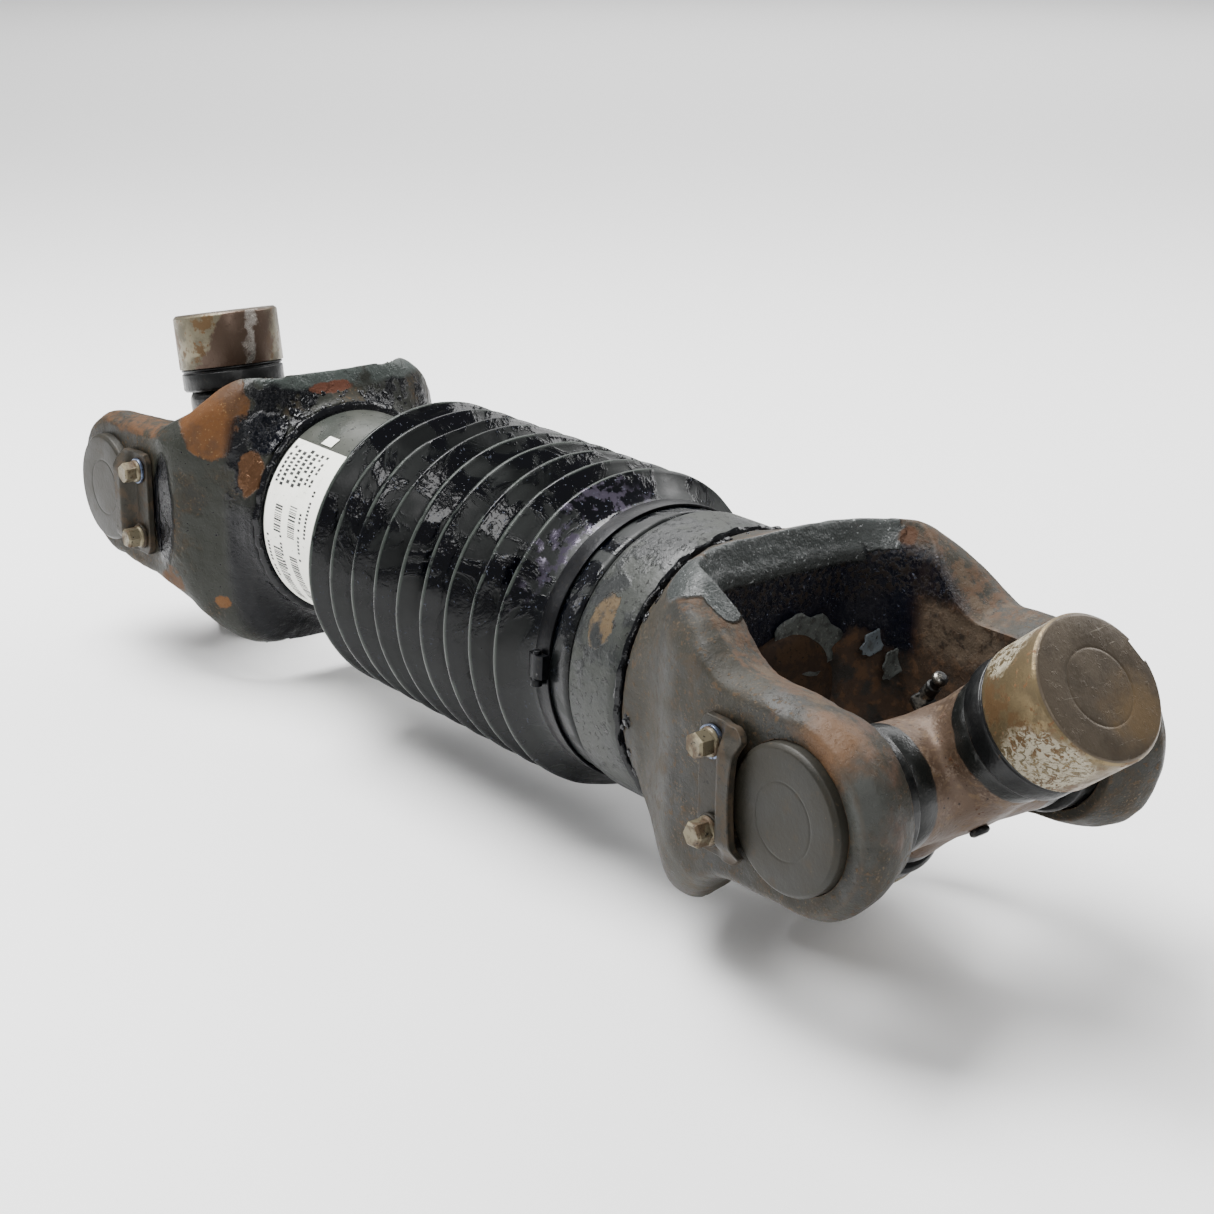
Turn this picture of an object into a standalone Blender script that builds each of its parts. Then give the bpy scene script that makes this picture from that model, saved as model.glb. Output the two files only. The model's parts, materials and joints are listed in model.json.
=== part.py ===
"""Universal joint shaft: a short truck drive shaft with a cross joint at each end.

The shaft lies along X. The front yoke is welded to a slip sleeve with splines inside, which slides on the
splined shaft of the rear half, under a rubber boot. Each yoke holds a cross by two bearing cups. The cross
turns about Y, and its other two cups are free, ready for the forks that they drive.

Each joint is modelled in its own frame: the origin is the centre of its cross, +X points away from the
shaft, and Y runs along the trunnions that the yoke holds. The rear joint is the same frame turned half
round about Z.
"""

import math

import bmesh
import bpy
from mathutils import Matrix

MM = 0.001

# Driving dimensions
GAP = 0.3 * MM  # between pieces that touch
JOINT_SPACING = 525.6 * MM  # from one cross to the other, with the slip joint at its rest length
CUP_RADIUS = 27.5 * MM
CUP_FACE = 82.0 * MM  # from the centre of a cross to the end face of a cup
FRONT_FREE_ANGLE = math.radians(38.28)  # free trunnions, from the joint's +X towards +Z
REAR_FREE_ANGLE = math.radians(78.25)
TUBE_RADIUS = 50.8 * MM

# Bearing cups, seals, needles and crosses, as distances along a trunnion and radii about it
CUP_CHAMFER = 0.8 * MM
CUP_MOUTH = 53.5 * MM
CUP_BOTTOM = 79.0 * MM
CUP_BORE = 21.7 * MM
SEAL_INNER_END = 44.5 * MM
SEAL_RADIUS = 26.3 * MM
SEAL_BORE = 20.7 * MM
NEEDLES_START = 56.0 * MM
NEEDLES_END = 78.3 * MM
JOURNAL_RADIUS = 17.0 * MM
JOURNAL_END = 77.8 * MM
SHOULDER_RADIUS = 20.0 * MM
ARM_RADIUS = 24.0 * MM
ARM_WAIST = 22.0 * MM
HUB_RADIUS = 32.0 * MM
HUB_HALF_HEIGHT = 22.0 * MM
FITTING_BORE = 3.2 * MM
FITTING_DEPTH = 8.0 * MM

# Yokes, as distances from the centre of the cross
EAR_OUTER = 77.0 * MM
EAR_INNER = 50.0 * MM
EAR_RING = 38.3 * MM  # crest of the ring round each bore
EAR_CREST = 66.0 * MM  # where across the shaft that crest lies
EAR_FACE_RING = 34.0 * MM  # the ring at the ear's outer face
EAR_INNER_RING = 32.0 * MM  # and at its inner face
WAIST_HEIGHT = 41.0 * MM
EAR_BOXINESS = 8.0  # powers of the superellipses that the sections follow; 2 is an ellipse
SHOULDER_BOXINESS = 4.4
THROAT_DEPTH = 92.0 * MM
THROAT_CORNER = 24.0 * MM
PLUG_RADIUS = 14.0 * MM
BOLT_ALONG = 38.6 * MM
BOLT_HALF_PITCH = 17.0 * MM
BOLT_HOLE = 4.3 * MM
BOLT_HOLE_END = 60.0 * MM

# Each yoke's base: the height of its shoulders, where they rise from and to, where its width and height
# begin to draw in, what they draw in to, and the profile of the hollow behind the throat in millimetres, as
# (distance, radius) pairs
FRONT_BASE = {
    "shoulder": 69.0 * MM,
    "shoulder_from": 36.0 * MM,
    "shoulder_to": 80.0 * MM,
    "width_from": 66.0 * MM,
    "width_to": 105.0 * MM,
    "height_from": 78.0 * MM,
    "end": 118.0 * MM,
    "end_radius": 60.5 * MM,
    "spigot": [],
    "hollow": [(80.0, 14.3), (106.0, 14.3), (106.0, 45.0), (130.0, 45.0)],
}
REAR_BASE = {
    "shoulder": 72.0 * MM,
    "shoulder_from": 42.0 * MM,
    "shoulder_to": 88.0 * MM,
    "width_from": 62.0 * MM,
    "width_to": 103.0 * MM,
    "height_from": 91.0 * MM,
    "end": 102.0 * MM,
    "end_radius": 56.0 * MM,
    "spigot": [(96.0, 0.0), (96.0, 55.0), (106.0, 55.0), (106.0, 46.9), (124.0, 46.9), (124.0, 0.0)],
    "hollow": [(80.0, 14.3), (104.0, 14.3), (104.0, 38.0), (140.0, 38.0)],
}

# Tab that locks each held cup, and its bolts
TAB_THICKNESS = 3.3 * MM
TAB_HALF_HEIGHT = 26.0 * MM
TAB_BACK = 47.0 * MM
TAB_STEP = 28.5 * MM
TAB_TIP = 20.0 * MM
TAB_RISE = 5.2 * MM
BOLT_RADIUS = 4.0 * MM
BOLT_WASHER = 6.4 * MM
BOLT_HEAD = 5.2 * MM
BOLT_HEAD_HEIGHT = 8.4 * MM
WASHER_THICKNESS = 1.4 * MM

# Slip joint and tube, as distances from the front cross towards the rear
SLEEVE_START = 118.3 * MM
SLEEVE_END = 264.0 * MM
BOOT_SEAT = 56.0 * MM
SPLINE_TEETH = 12
SPLINE_TIP = 35.5 * MM
SPLINE_ROOT = 32.0 * MM
SPLINE_START = 176.0 * MM
SPLINE_END = 293.0 * MM
STUB_END = 333.0 * MM
TUBE_START = 337.0 * MM
TUBE_WALL = 3.5 * MM
BEAD_WIDTH = 3.4 * MM
REAR_COLLAR = 106.0 * MM

# Boot
BOOT_WALL = 2.3 * MM
BOOT_START = 154.5 * MM
FRONT_CUFF_END = 179.0 * MM
FIRST_RIDGE = 190.0 * MM
RIDGE_PITCH = 18.6 * MM
RIDGE_COUNT = 9
RIDGE_RADIUS = 70.0 * MM
VALLEY_RADIUS = 58.5 * MM
REAR_CUFF_START = 349.0 * MM
BOOT_END = 361.0 * MM
CLAMP_WIDTH = 9.0 * MM
CLAMP_THICKNESS = 1.2 * MM

# Label on the tube: its ends along the shaft, and its angles from straight up towards -Y
LABEL_ENDS = (363.0 * MM, 413.5 * MM)
LABEL_ANGLES = (math.radians(36.0), math.radians(150.0))
LABEL_THICKNESS = 0.3 * MM

ROUND = 24  # sides of a cup, its bore and a cross's arms
SMALL_ROUND = 16  # sides of seals and needles
BOLT_ROUND = 8
SHAFT_ROUND = 32  # sides of the pieces about the shaft
SECTION_POINTS = 24  # points round a yoke's section


def clear_scene():
    for thing in list(bpy.data.objects):
        bpy.data.objects.remove(thing, do_unlink=True)


def material(name, colour, roughness, metallic):
    made = bpy.data.materials.new(name)
    made.use_nodes = True
    shader = made.node_tree.nodes["Principled BSDF"]
    shader.inputs["Base Color"].default_value = (*colour, 1.0)
    shader.inputs["Roughness"].default_value = roughness
    shader.inputs["Metallic"].default_value = metallic
    return made


def new_object(name, shape, look=None, parent=None, matrix=None):
    """Turns a bmesh into an object, smooth across shallow angles, under a parent."""
    bmesh.ops.recalc_face_normals(shape, faces=shape.faces)
    mesh = bpy.data.meshes.new(name)
    shape.to_mesh(mesh)
    shape.free()
    mesh.shade_smooth()
    mesh.set_sharp_from_angle(angle=math.radians(35.0))
    if look:
        mesh.materials.append(look)
    made = bpy.data.objects.new(name, mesh)
    bpy.context.collection.objects.link(made)
    made.parent = parent
    if matrix:
        made.matrix_local = matrix
    return made


def cut(target, cutter, operation="DIFFERENCE"):
    """Adds a Boolean to the target and hides the object that it reads."""
    boolean = target.modifiers.new(cutter.name, "BOOLEAN")
    boolean.object = cutter
    boolean.operation = operation
    boolean.solver = "EXACT"
    cutter.hide_render = True
    cutter.display_type = "WIRE"


def revolve(profile, sides=ROUND, closed=False):
    """Turns (distance along X, radius) points about X. A radius of 0 closes that end at a point."""
    shape = bmesh.new()
    rings = []
    for along, radius in profile:
        if radius == 0.0:
            rings.append([shape.verts.new((along, 0.0, 0.0))] * sides)
            continue
        angles = [2.0 * math.pi * step / sides for step in range(sides)]
        rings.append([shape.verts.new((along, radius * math.sin(a), radius * math.cos(a))) for a in angles])
    pairs = list(zip(rings, rings[1:]))
    if closed:
        pairs.append((rings[-1], rings[0]))
    for first, second in pairs:
        for step in range(sides):
            after = (step + 1) % sides
            corners = [first[step], first[after], second[after], second[step]]
            shape.faces.new(list(dict.fromkeys(corners)))
    return shape


def loft(sections):
    """Joins rings of as many points each, and closes both ends flat."""
    shape = bmesh.new()
    rings = [[shape.verts.new(point) for point in section] for section in sections]
    for first, second in zip(rings, rings[1:]):
        for step in range(len(first)):
            after = (step + 1) % len(first)
            shape.faces.new([first[step], first[after], second[after], second[step]])
    shape.faces.new(rings[0])
    shape.faces.new(rings[-1])
    return shape


def prism(outline, start, end, place):
    """Extrudes a flat outline. place(a, b, depth) says where each point of it goes."""
    return loft([[place(a, b, depth) for a, b in outline] for depth in (start, end)])


def arc(centre, radius, start, end, steps):
    """Points along an arc, with its angles in degrees."""
    angles = [math.radians(start + (end - start) * step / steps) for step in range(steps + 1)]
    return [(centre[0] + radius * math.cos(a), centre[1] + radius * math.sin(a)) for a in angles]


def smooth_step(value, start, end):
    """Goes from 0 at start to 1 at end with no slope at either."""
    t = min(max((value - start) / (end - start), 0.0), 1.0)
    return t * t * (3.0 - 2.0 * t)


def superellipse(distance, width, height, power, flat):
    """A section across the yoke. Its sides are flat where the curve would pass the width, by the ratio flat."""
    points = []
    for step in range(SECTION_POINTS):
        angle = 2.0 * math.pi * (step + 0.5) / SECTION_POINTS
        y = width * flat * math.copysign(abs(math.cos(angle)) ** (2.0 / power), math.cos(angle))
        z = height * math.copysign(abs(math.sin(angle)) ** (2.0 / power), math.sin(angle))
        points.append([-distance, min(max(y, -width), width), z])
    return points


def yoke_section(distance, base):
    """The outer section of the yoke's body before its throat is cut, from the ears to the base."""
    if distance < 0.0:
        return superellipse(distance, EAR_OUTER - 2.0 * MM, 0.9 * EAR_INNER_RING, EAR_BOXINESS, 1.0)
    waist = EAR_RING + (WAIST_HEIGHT - EAR_RING) * smooth_step(distance, 0.0, 20.0 * MM)
    height = waist + (base["shoulder"] - waist) * smooth_step(distance, base["shoulder_from"], base["shoulder_to"])
    drop = base["shoulder"] - base["end_radius"]
    height -= drop * smooth_step(distance, base["height_from"], base["end"])
    drawn_in = smooth_step(distance, base["width_from"], base["width_to"])
    width = EAR_OUTER - (EAR_OUTER - base["end_radius"]) * drawn_in
    softened = smooth_step(distance, 46.0 * MM, base["width_from"] + 6.0 * MM)
    power = EAR_BOXINESS + (SHOULDER_BOXINESS - EAR_BOXINESS) * softened
    power += (2.0 - power) * smooth_step(distance, base["width_to"] - 16.0 * MM, base["end"])
    section = superellipse(distance, width, height, power, 1.04 - 0.04 * softened)
    ear = 1.0 - smooth_step(distance, 45.0 * MM, 75.0 * MM)
    for point in section:
        inwards = min(max((EAR_CREST - abs(point[1])) / (EAR_CREST - EAR_INNER), 0.0), 1.0)
        point[2] *= 1.0 - ear * inwards * (1.0 - EAR_INNER_RING / EAR_RING)
    return section


def ear_ring(side):
    """The ring round an ear's bore, which is widest between the ear's two faces."""
    profile = [
        (EAR_INNER - 4.0 * MM, 0.0),
        (EAR_INNER - 4.0 * MM, EAR_INNER_RING - 2.0 * MM),
        (EAR_INNER, EAR_INNER_RING),
        (EAR_CREST - 3.0 * MM, EAR_RING - 1.0 * MM),
        (EAR_CREST + 4.0 * MM, EAR_RING),
        (EAR_OUTER, EAR_FACE_RING),
        (EAR_OUTER, 0.0),
    ]
    shape = revolve(profile)
    bmesh.ops.transform(shape, matrix=Matrix.Rotation(side * math.pi / 2.0, 4, "Z"), verts=shape.verts)
    return shape


def throat_cutter():
    """The gap between the ears, with round corners at its floor, cut right through along Z."""
    centre = (-THROAT_DEPTH + THROAT_CORNER, EAR_INNER - THROAT_CORNER)
    outline = [(60.0 * MM, -EAR_INNER), (60.0 * MM, EAR_INNER)]
    outline += arc(centre, THROAT_CORNER, 90.0, 180.0, 5)
    outline += arc((centre[0], -centre[1]), THROAT_CORNER, 180.0, 270.0, 5)
    return prism(outline, -90.0 * MM, 90.0 * MM, lambda x, y, z: (x, y, z))


def in_mm(profile):
    return [(-along * MM, radius * MM) for along, radius in profile]


def cylinder_along_y(x, z, radius, start, end, sides):
    """A cylinder whose flats, not its corners, lie at the radius."""
    shape = revolve([(start, 0.0), (start, radius), (end, radius), (end, 0.0)], sides)
    bmesh.ops.transform(shape, matrix=Matrix.Rotation(math.pi / 2.0, 4, "Z"), verts=shape.verts)
    bmesh.ops.translate(shape, vec=(x, 0.0, z), verts=shape.verts)
    return shape


def merge(shapes):
    """Puts several separate shapes in one bmesh."""
    first = shapes[0]
    for other in shapes[1:]:
        mesh = bpy.data.meshes.new("part_of_cutter")
        other.to_mesh(mesh)
        other.free()
        first.from_mesh(mesh)
        bpy.data.meshes.remove(mesh)
    return first


def build_yoke(name, base, look, joint):
    """A forged yoke: two ears with bores, a throat between them, and a base for its weld."""
    body = [-10.0 * MM, 2.0 * MM, 20.0 * MM, 34.0 * MM, 44.0 * MM, 54.0 * MM, 64.0 * MM, 74.0 * MM]
    step = (base["end"] - 82.0 * MM) / 5.0
    distances = body + [82.0 * MM + step * count for count in range(6)]
    yoke = new_object(name, loft([yoke_section(d, base) for d in distances]), look, joint)
    rings = new_object(name + "_ear_rings", merge([ear_ring(1), ear_ring(-1)]), None, joint)
    cut(yoke, rings, "UNION")
    if base["spigot"]:
        spigot = new_object(name + "_spigot", revolve(in_mm(base["spigot"]), SHAFT_ROUND), None, joint)
        cut(yoke, spigot, "UNION")
    cut(yoke, new_object(name + "_throat", throat_cutter(), None, joint))
    bore = (CUP_RADIUS + GAP) / math.cos(math.pi / ROUND)
    bores = cylinder_along_y(0.0, 0.0, bore, -0.1, 0.1, ROUND)
    cut(yoke, new_object(name + "_bores", bores, None, joint))
    ends = [(base["hollow"][0][0], 0.0)] + base["hollow"] + [(base["hollow"][-1][0], 0.0)]
    cut(yoke, new_object(name + "_hollow", revolve(in_mm(ends), ROUND), None, joint))
    holes = []
    for side in (-1, 1):
        for level in (-1, 1):
            near, far = sorted((side * BOLT_HOLE_END, side * 90.0 * MM))
            holes.append(cylinder_along_y(-BOLT_ALONG, level * BOLT_HALF_PITCH, BOLT_HOLE, near, far, 8))
    cut(yoke, new_object(name + "_bolt_holes", merge(holes), None, joint))
    return yoke


def build_yoke_plug(name, base, look, joint):
    """The round plug that closes the hole in the throat's floor."""
    start = -THROAT_DEPTH + 2.0 * MM
    end = -(base["hollow"][1][0] - 1.0) * MM
    profile = [(start, 0.0), (start, 10.0 * MM), (start - 2.0 * MM, PLUG_RADIUS), (end, PLUG_RADIUS), (end, 0.0)]
    return new_object(name, revolve(profile), look, joint)


def build_cross(name, look, spin):
    """Four trunnions about a hub, with a drilled boss above and below."""
    half = [
        (JOURNAL_END, 0.0),
        (JOURNAL_END, JOURNAL_RADIUS),
        (CUP_MOUTH - GAP, JOURNAL_RADIUS),
        (CUP_MOUTH - GAP, SHOULDER_RADIUS),
        (SEAL_INNER_END - GAP, SHOULDER_RADIUS),
        (SEAL_INNER_END - GAP, ARM_RADIUS),
        (24.0 * MM, ARM_WAIST),
    ]
    profile = half + [(-along, radius) for along, radius in reversed(half)]
    cross = new_object(name, revolve(profile), look, spin)
    held = revolve(profile)
    bmesh.ops.transform(held, matrix=Matrix.Rotation(math.pi / 2.0, 4, "Z"), verts=held.verts)
    cut(cross, new_object(name + "_held_arms", held, None, spin), "UNION")
    hub_edge = HUB_RADIUS - 6.0 * MM
    hub_side = HUB_HALF_HEIGHT - 4.0 * MM
    hub = revolve(
        [
            (-HUB_HALF_HEIGHT - 1.5 * MM, 0.0),
            (-HUB_HALF_HEIGHT - 1.5 * MM, hub_edge - 8.0 * MM),
            (-hub_side, HUB_RADIUS),
            (hub_side, HUB_RADIUS),
            (HUB_HALF_HEIGHT + 1.5 * MM, hub_edge - 8.0 * MM),
            (HUB_HALF_HEIGHT + 1.5 * MM, 0.0),
        ]
    )
    bmesh.ops.transform(hub, matrix=Matrix.Rotation(math.pi / 2.0, 4, "Y"), verts=hub.verts)
    cut(cross, new_object(name + "_hub", hub, None, spin), "UNION")
    face = HUB_HALF_HEIGHT + 1.5 * MM
    drilled = []
    for side in (-1, 1):
        low, high = sorted((side * (face - FITTING_DEPTH), side * 40.0 * MM))
        hole = revolve([(low, 0.0), (low, FITTING_BORE), (high, FITTING_BORE), (high, 0.0)], 8)
        bmesh.ops.transform(hole, matrix=Matrix.Rotation(-math.pi / 2.0, 4, "Y"), verts=hole.verts)
        drilled.append(hole)
    cut(cross, new_object(name + "_drilled", merge(drilled), None, spin))
    return cross


def build_fitting(name, tip_profile, look, spin, side):
    """A piece screwed into the hub's boss: a stem in the hole, then the given profile above the face."""
    face = HUB_HALF_HEIGHT + 1.5 * MM
    stem = FITTING_BORE - 0.5 * MM
    profile = [(face - FITTING_DEPTH + 0.5 * MM, 0.0), (face - FITTING_DEPTH + 0.5 * MM, stem)]
    profile.append((face + GAP, stem))
    profile += [(face + GAP + along * MM, radius * MM) for along, radius in tip_profile]
    turn = Matrix.Rotation(-side * math.pi / 2.0, 4, "Y")
    return new_object(name, revolve(profile, BOLT_ROUND), look, spin, turn)


def build_cup(prefix, place, looks, parent):
    """A bearing cup, its needles and its seal, on a trunnion whose outward direction is the place's +X."""
    cup = [
        (CUP_FACE, 0.0),
        (CUP_FACE, CUP_RADIUS - CUP_CHAMFER),
        (CUP_FACE - CUP_CHAMFER, CUP_RADIUS),
        (CUP_MOUTH, CUP_RADIUS),
        (CUP_MOUTH, CUP_BORE),
        (CUP_BOTTOM, CUP_BORE),
        (CUP_BOTTOM, 0.0),
    ]
    new_object(prefix + "_cup", revolve(cup), looks["cup"], parent, place)
    outer = CUP_BORE - 2.0 * GAP
    inner = JOURNAL_RADIUS + 2.5 * GAP
    needles = [(NEEDLES_START, inner), (NEEDLES_START, outer), (NEEDLES_END, outer), (NEEDLES_END, inner)]
    new_object(prefix + "_needles", revolve(needles, SMALL_ROUND, closed=True), looks["needles"], parent, place)
    seal = [
        (SEAL_INNER_END, SEAL_BORE),
        (SEAL_INNER_END, SEAL_RADIUS),
        (CUP_MOUTH - GAP, SEAL_RADIUS),
        (CUP_MOUTH - GAP, SEAL_BORE),
    ]
    new_object(prefix + "_seal", revolve(seal, SMALL_ROUND, closed=True), looks["rubber"], parent, place)


def build_lock_tab(name, side, look, joint):
    """A plate on the ear that steps up over the cup's rim, with two bolt holes."""
    low = EAR_OUTER + GAP
    top = low + TAB_THICKNESS
    outline = [
        (-TAB_BACK, low),
        (-TAB_STEP, low),
        (-TAB_STEP, low + TAB_RISE),
        (-TAB_TIP, low + TAB_RISE),
        (-TAB_TIP, top + TAB_RISE),
        (-TAB_STEP - TAB_THICKNESS, top + TAB_RISE),
        (-TAB_STEP - TAB_THICKNESS, top),
        (-TAB_BACK, top),
    ]
    shape = prism(outline, -TAB_HALF_HEIGHT, TAB_HALF_HEIGHT, lambda x, y, z: (x, side * y, z))
    tab = new_object(name, shape, look, joint)
    near, far = sorted((side * 70.0 * MM, side * 95.0 * MM))
    levels = (-BOLT_HALF_PITCH, BOLT_HALF_PITCH)
    holes = [cylinder_along_y(-BOLT_ALONG, level, BOLT_HOLE, near, far, 8) for level in levels]
    cut(tab, new_object(name + "_holes", merge(holes), None, joint))


def build_bolt(name, side, level, look, joint):
    """A hexagon head bolt with its washer in one piece, from the ear's hole to above the tab."""
    seat = EAR_OUTER + TAB_THICKNESS + 2.0 * GAP
    washer = seat + WASHER_THICKNESS
    end = washer + BOLT_HEAD_HEIGHT
    start = BOLT_HOLE_END + 1.0 * MM
    profile = [
        (start, 0.0),
        (start, BOLT_RADIUS - 0.2 * MM),
        (seat, BOLT_RADIUS - 0.2 * MM),
        (seat, BOLT_WASHER),
        (washer, BOLT_WASHER),
        (washer, BOLT_HEAD),
        (end, BOLT_HEAD),
        (end, 0.0),
    ]
    place = Matrix.Translation((-BOLT_ALONG, 0.0, level * BOLT_HALF_PITCH))
    place @= Matrix.Rotation(side * math.pi / 2.0, 4, "Z")
    new_object(name, revolve(profile, BOLT_ROUND), look, joint, place)


def trunnion_matrix(name):
    """Turns +X to a trunnion of the cross. Left is +Y, right is -Y, and the free pair is on X."""
    turns = {"left": 0.5, "right": -0.5, "upper": 0.0, "lower": 1.0}
    return Matrix.Rotation(turns[name] * math.pi, 4, "Z")


def build_joint(prefix, base, free_angle, looks, place):
    """One end of the shaft: its yoke, its cross with four cups, and what fastens them."""
    joint = bpy.data.objects.new(prefix + "_joint_frame", None)
    bpy.context.collection.objects.link(joint)
    joint.matrix_local = place
    spin = bpy.data.objects.new(prefix + "_cross_frame", None)
    bpy.context.collection.objects.link(spin)
    spin.parent = joint
    spin.matrix_local = Matrix.Rotation(-free_angle, 4, "Y")

    build_yoke(prefix + "_yoke", base, looks["yoke"], joint)
    build_yoke_plug(prefix + "_yoke_plug", base, looks["plug"], joint)
    build_cross(prefix + "_cross", looks["cross"], spin)
    grease_tip = [(0.0, 4.6), (2.6, 4.6), (3.0, 2.8), (7.0, 2.8), (8.0, 3.4), (10.0, 2.4), (10.0, 0.0)]
    plug_tip = [(0.0, 3.9), (1.8, 3.9), (2.8, 3.0), (2.8, 0.0)]
    build_fitting(prefix + "_grease_fitting", grease_tip, looks["bolt"], spin, 1)
    build_fitting(prefix + "_cross_plug", plug_tip, looks["bolt"], spin, -1)
    for name in ("left", "right", "upper", "lower"):
        parent = joint if name in ("left", "right") else spin
        build_cup(prefix + "_" + name, trunnion_matrix(name), looks, parent)
    for name, side in (("left", 1), ("right", -1)):
        build_lock_tab(f"{prefix}_{name}_lock_tab", side, looks["tab"], joint)
        for level_name, level in (("upper", 1), ("lower", -1)):
            build_bolt(f"{prefix}_{name}_bolt_{level_name}", side, level, looks["bolt"], joint)


def shaft_profile(points):
    """(distance from the front cross in mm, radius in mm) as distances along X in metres."""
    return [(-along * MM, radius * MM) for along, radius in points]


def spline_outline(clearance):
    """The section of the splined shaft, larger all round by the clearance."""
    tip = SPLINE_TIP + clearance
    root = SPLINE_ROOT + clearance
    pitch = 2.0 * math.pi / SPLINE_TEETH
    points = []
    for tooth in range(SPLINE_TEETH):
        middle = tooth * pitch
        wide = 0.27 * pitch + clearance / root
        narrow = 0.20 * pitch + clearance / tip
        for radius, angle in ((root, -wide), (tip, -narrow), (tip, narrow), (root, wide)):
            points.append((radius * math.sin(middle + angle), radius * math.cos(middle + angle)))
    return points


def build_sleeve(look, axis):
    """The slip sleeve: a barrel welded to the front yoke, a seat for the boot, and splines inside."""
    start = SLEEVE_START / MM
    end = SLEEVE_END / MM
    seat = BOOT_SEAT / MM
    profile = [
        (start, 56.0),
        (start + 5.0, 56.0),
        (start + 5.0, 60.5),
        (152.0, 60.5),
        (154.0, 58.5),
        (154.0, seat),
        (182.0, seat),
        (190.0, 46.0),
        (end - 2.0, 46.0),
        (end, 44.0),
        (end, 31.0),
        (160.0, 31.0),
        (150.0, 45.0),
        (start, 45.0),
    ]
    sleeve = new_object("slip_sleeve", revolve(shaft_profile(profile), SHAFT_ROUND, closed=True), look, axis)
    outline = spline_outline(GAP)
    cutter = prism(outline, -150.0 * MM, -(end + 10.0) * MM, lambda y, z, x: (x, y, z))
    cut(sleeve, new_object("slip_sleeve_splines", cutter, None, axis))


def build_spline_shaft(look, axis):
    """The splined shaft, with a neck and a flange that goes into the end of the tube."""
    outline = spline_outline(0.0)
    teeth = prism(outline, -SPLINE_START, -SPLINE_END, lambda y, z, x: (x, y, z))
    shaft = new_object("spline_shaft", teeth, look, axis)
    neck_from = SPLINE_END / MM - 3.0
    flange = STUB_END / MM
    neck = [
        (neck_from, 0.0),
        (neck_from, 31.0),
        (314.0, 31.0),
        (322.0, 50.5),
        (flange, 50.5),
        (flange, 46.9),
        (flange + 22.0, 46.9),
        (flange + 22.0, 40.0),
        (flange - 4.0, 38.0),
        (flange - 4.0, 0.0),
    ]
    cut(shaft, new_object("spline_shaft_neck", revolve(shaft_profile(neck), SHAFT_ROUND), None, axis), "UNION")


def build_tube(look, axis):
    end = JOINT_SPACING - REAR_COLLAR - GAP * 2.0 - BEAD_WIDTH
    inner = TUBE_RADIUS - TUBE_WALL
    profile = [(TUBE_START, TUBE_RADIUS), (end, TUBE_RADIUS), (end, inner), (TUBE_START, inner)]
    profile = [(-along, radius) for along, radius in profile]
    new_object("rear_tube", revolve(profile, SHAFT_ROUND, closed=True), look, axis)


def build_bead(name, start, inner, crown, look, axis):
    """A weld bead: a ring with a raised crown."""
    middle = start + BEAD_WIDTH / 2.0
    end = start + BEAD_WIDTH
    edge = crown - 1.4 * MM
    profile = [(start, inner), (start, edge), (middle, crown), (end, edge), (end, inner)]
    profile = [(-along, radius) for along, radius in profile]
    new_object(name, revolve(profile, SHAFT_ROUND, closed=True), look, axis)


def boot_outer_profile():
    """Outside of the boot from its front cuff to its rear cuff."""
    cuff = BOOT_SEAT + GAP + BOOT_WALL
    rear_cuff = TUBE_RADIUS + GAP + BOOT_WALL
    points = [(BOOT_START, cuff), (FRONT_CUFF_END, cuff)]
    for ridge in range(RIDGE_COUNT):
        peak = FIRST_RIDGE + ridge * RIDGE_PITCH
        points.append((peak, RIDGE_RADIUS))
        if ridge < RIDGE_COUNT - 1:
            points.append((peak + RIDGE_PITCH / 2.0, VALLEY_RADIUS))
    points += [(REAR_CUFF_START, rear_cuff), (BOOT_END, rear_cuff)]
    return points


def build_boot(look, axis):
    """The bellows: the outer profile, and the same profile a wall's thickness further in."""
    outer = boot_outer_profile()
    inner = [(along, radius - BOOT_WALL) for along, radius in outer]
    profile = [(-along, radius) for along, radius in outer + inner[::-1]]
    new_object("boot", revolve(profile, SHAFT_ROUND, closed=True), look, axis)


def build_clamp(name, middle, inner, look, axis):
    outer = inner + CLAMP_THICKNESS
    start = middle - CLAMP_WIDTH / 2.0
    end = middle + CLAMP_WIDTH / 2.0
    profile = [(-start, inner), (-start, outer), (-end, outer), (-end, inner)]
    new_object(name, revolve(profile, SHAFT_ROUND, closed=True), look, axis)


def build_label(look, axis):
    """A thin sticker wrapped part of the way round the tube."""
    inner = TUBE_RADIUS + GAP
    outer = inner + LABEL_THICKNESS
    steps = 12
    span = LABEL_ANGLES[1] - LABEL_ANGLES[0]
    angles = [LABEL_ANGLES[0] + span * step / steps for step in range(steps + 1)]
    outline = [(-outer * math.sin(a), outer * math.cos(a)) for a in angles]
    outline += [(-inner * math.sin(a), inner * math.cos(a)) for a in reversed(angles)]
    shape = prism(outline, -LABEL_ENDS[0], -LABEL_ENDS[1], lambda y, z, x: (x, y, z))
    new_object("label", shape, look, axis)


def cup_reach(direction, across):
    """How far a free cup's rim reaches from its cross, along an axis with these parts of the trunnion."""
    corners = ((CUP_FACE, CUP_RADIUS - CUP_CHAMFER), (CUP_FACE - CUP_CHAMFER, CUP_RADIUS))
    return max(abs(direction) * along + abs(across) * radius for along, radius in corners)


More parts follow.
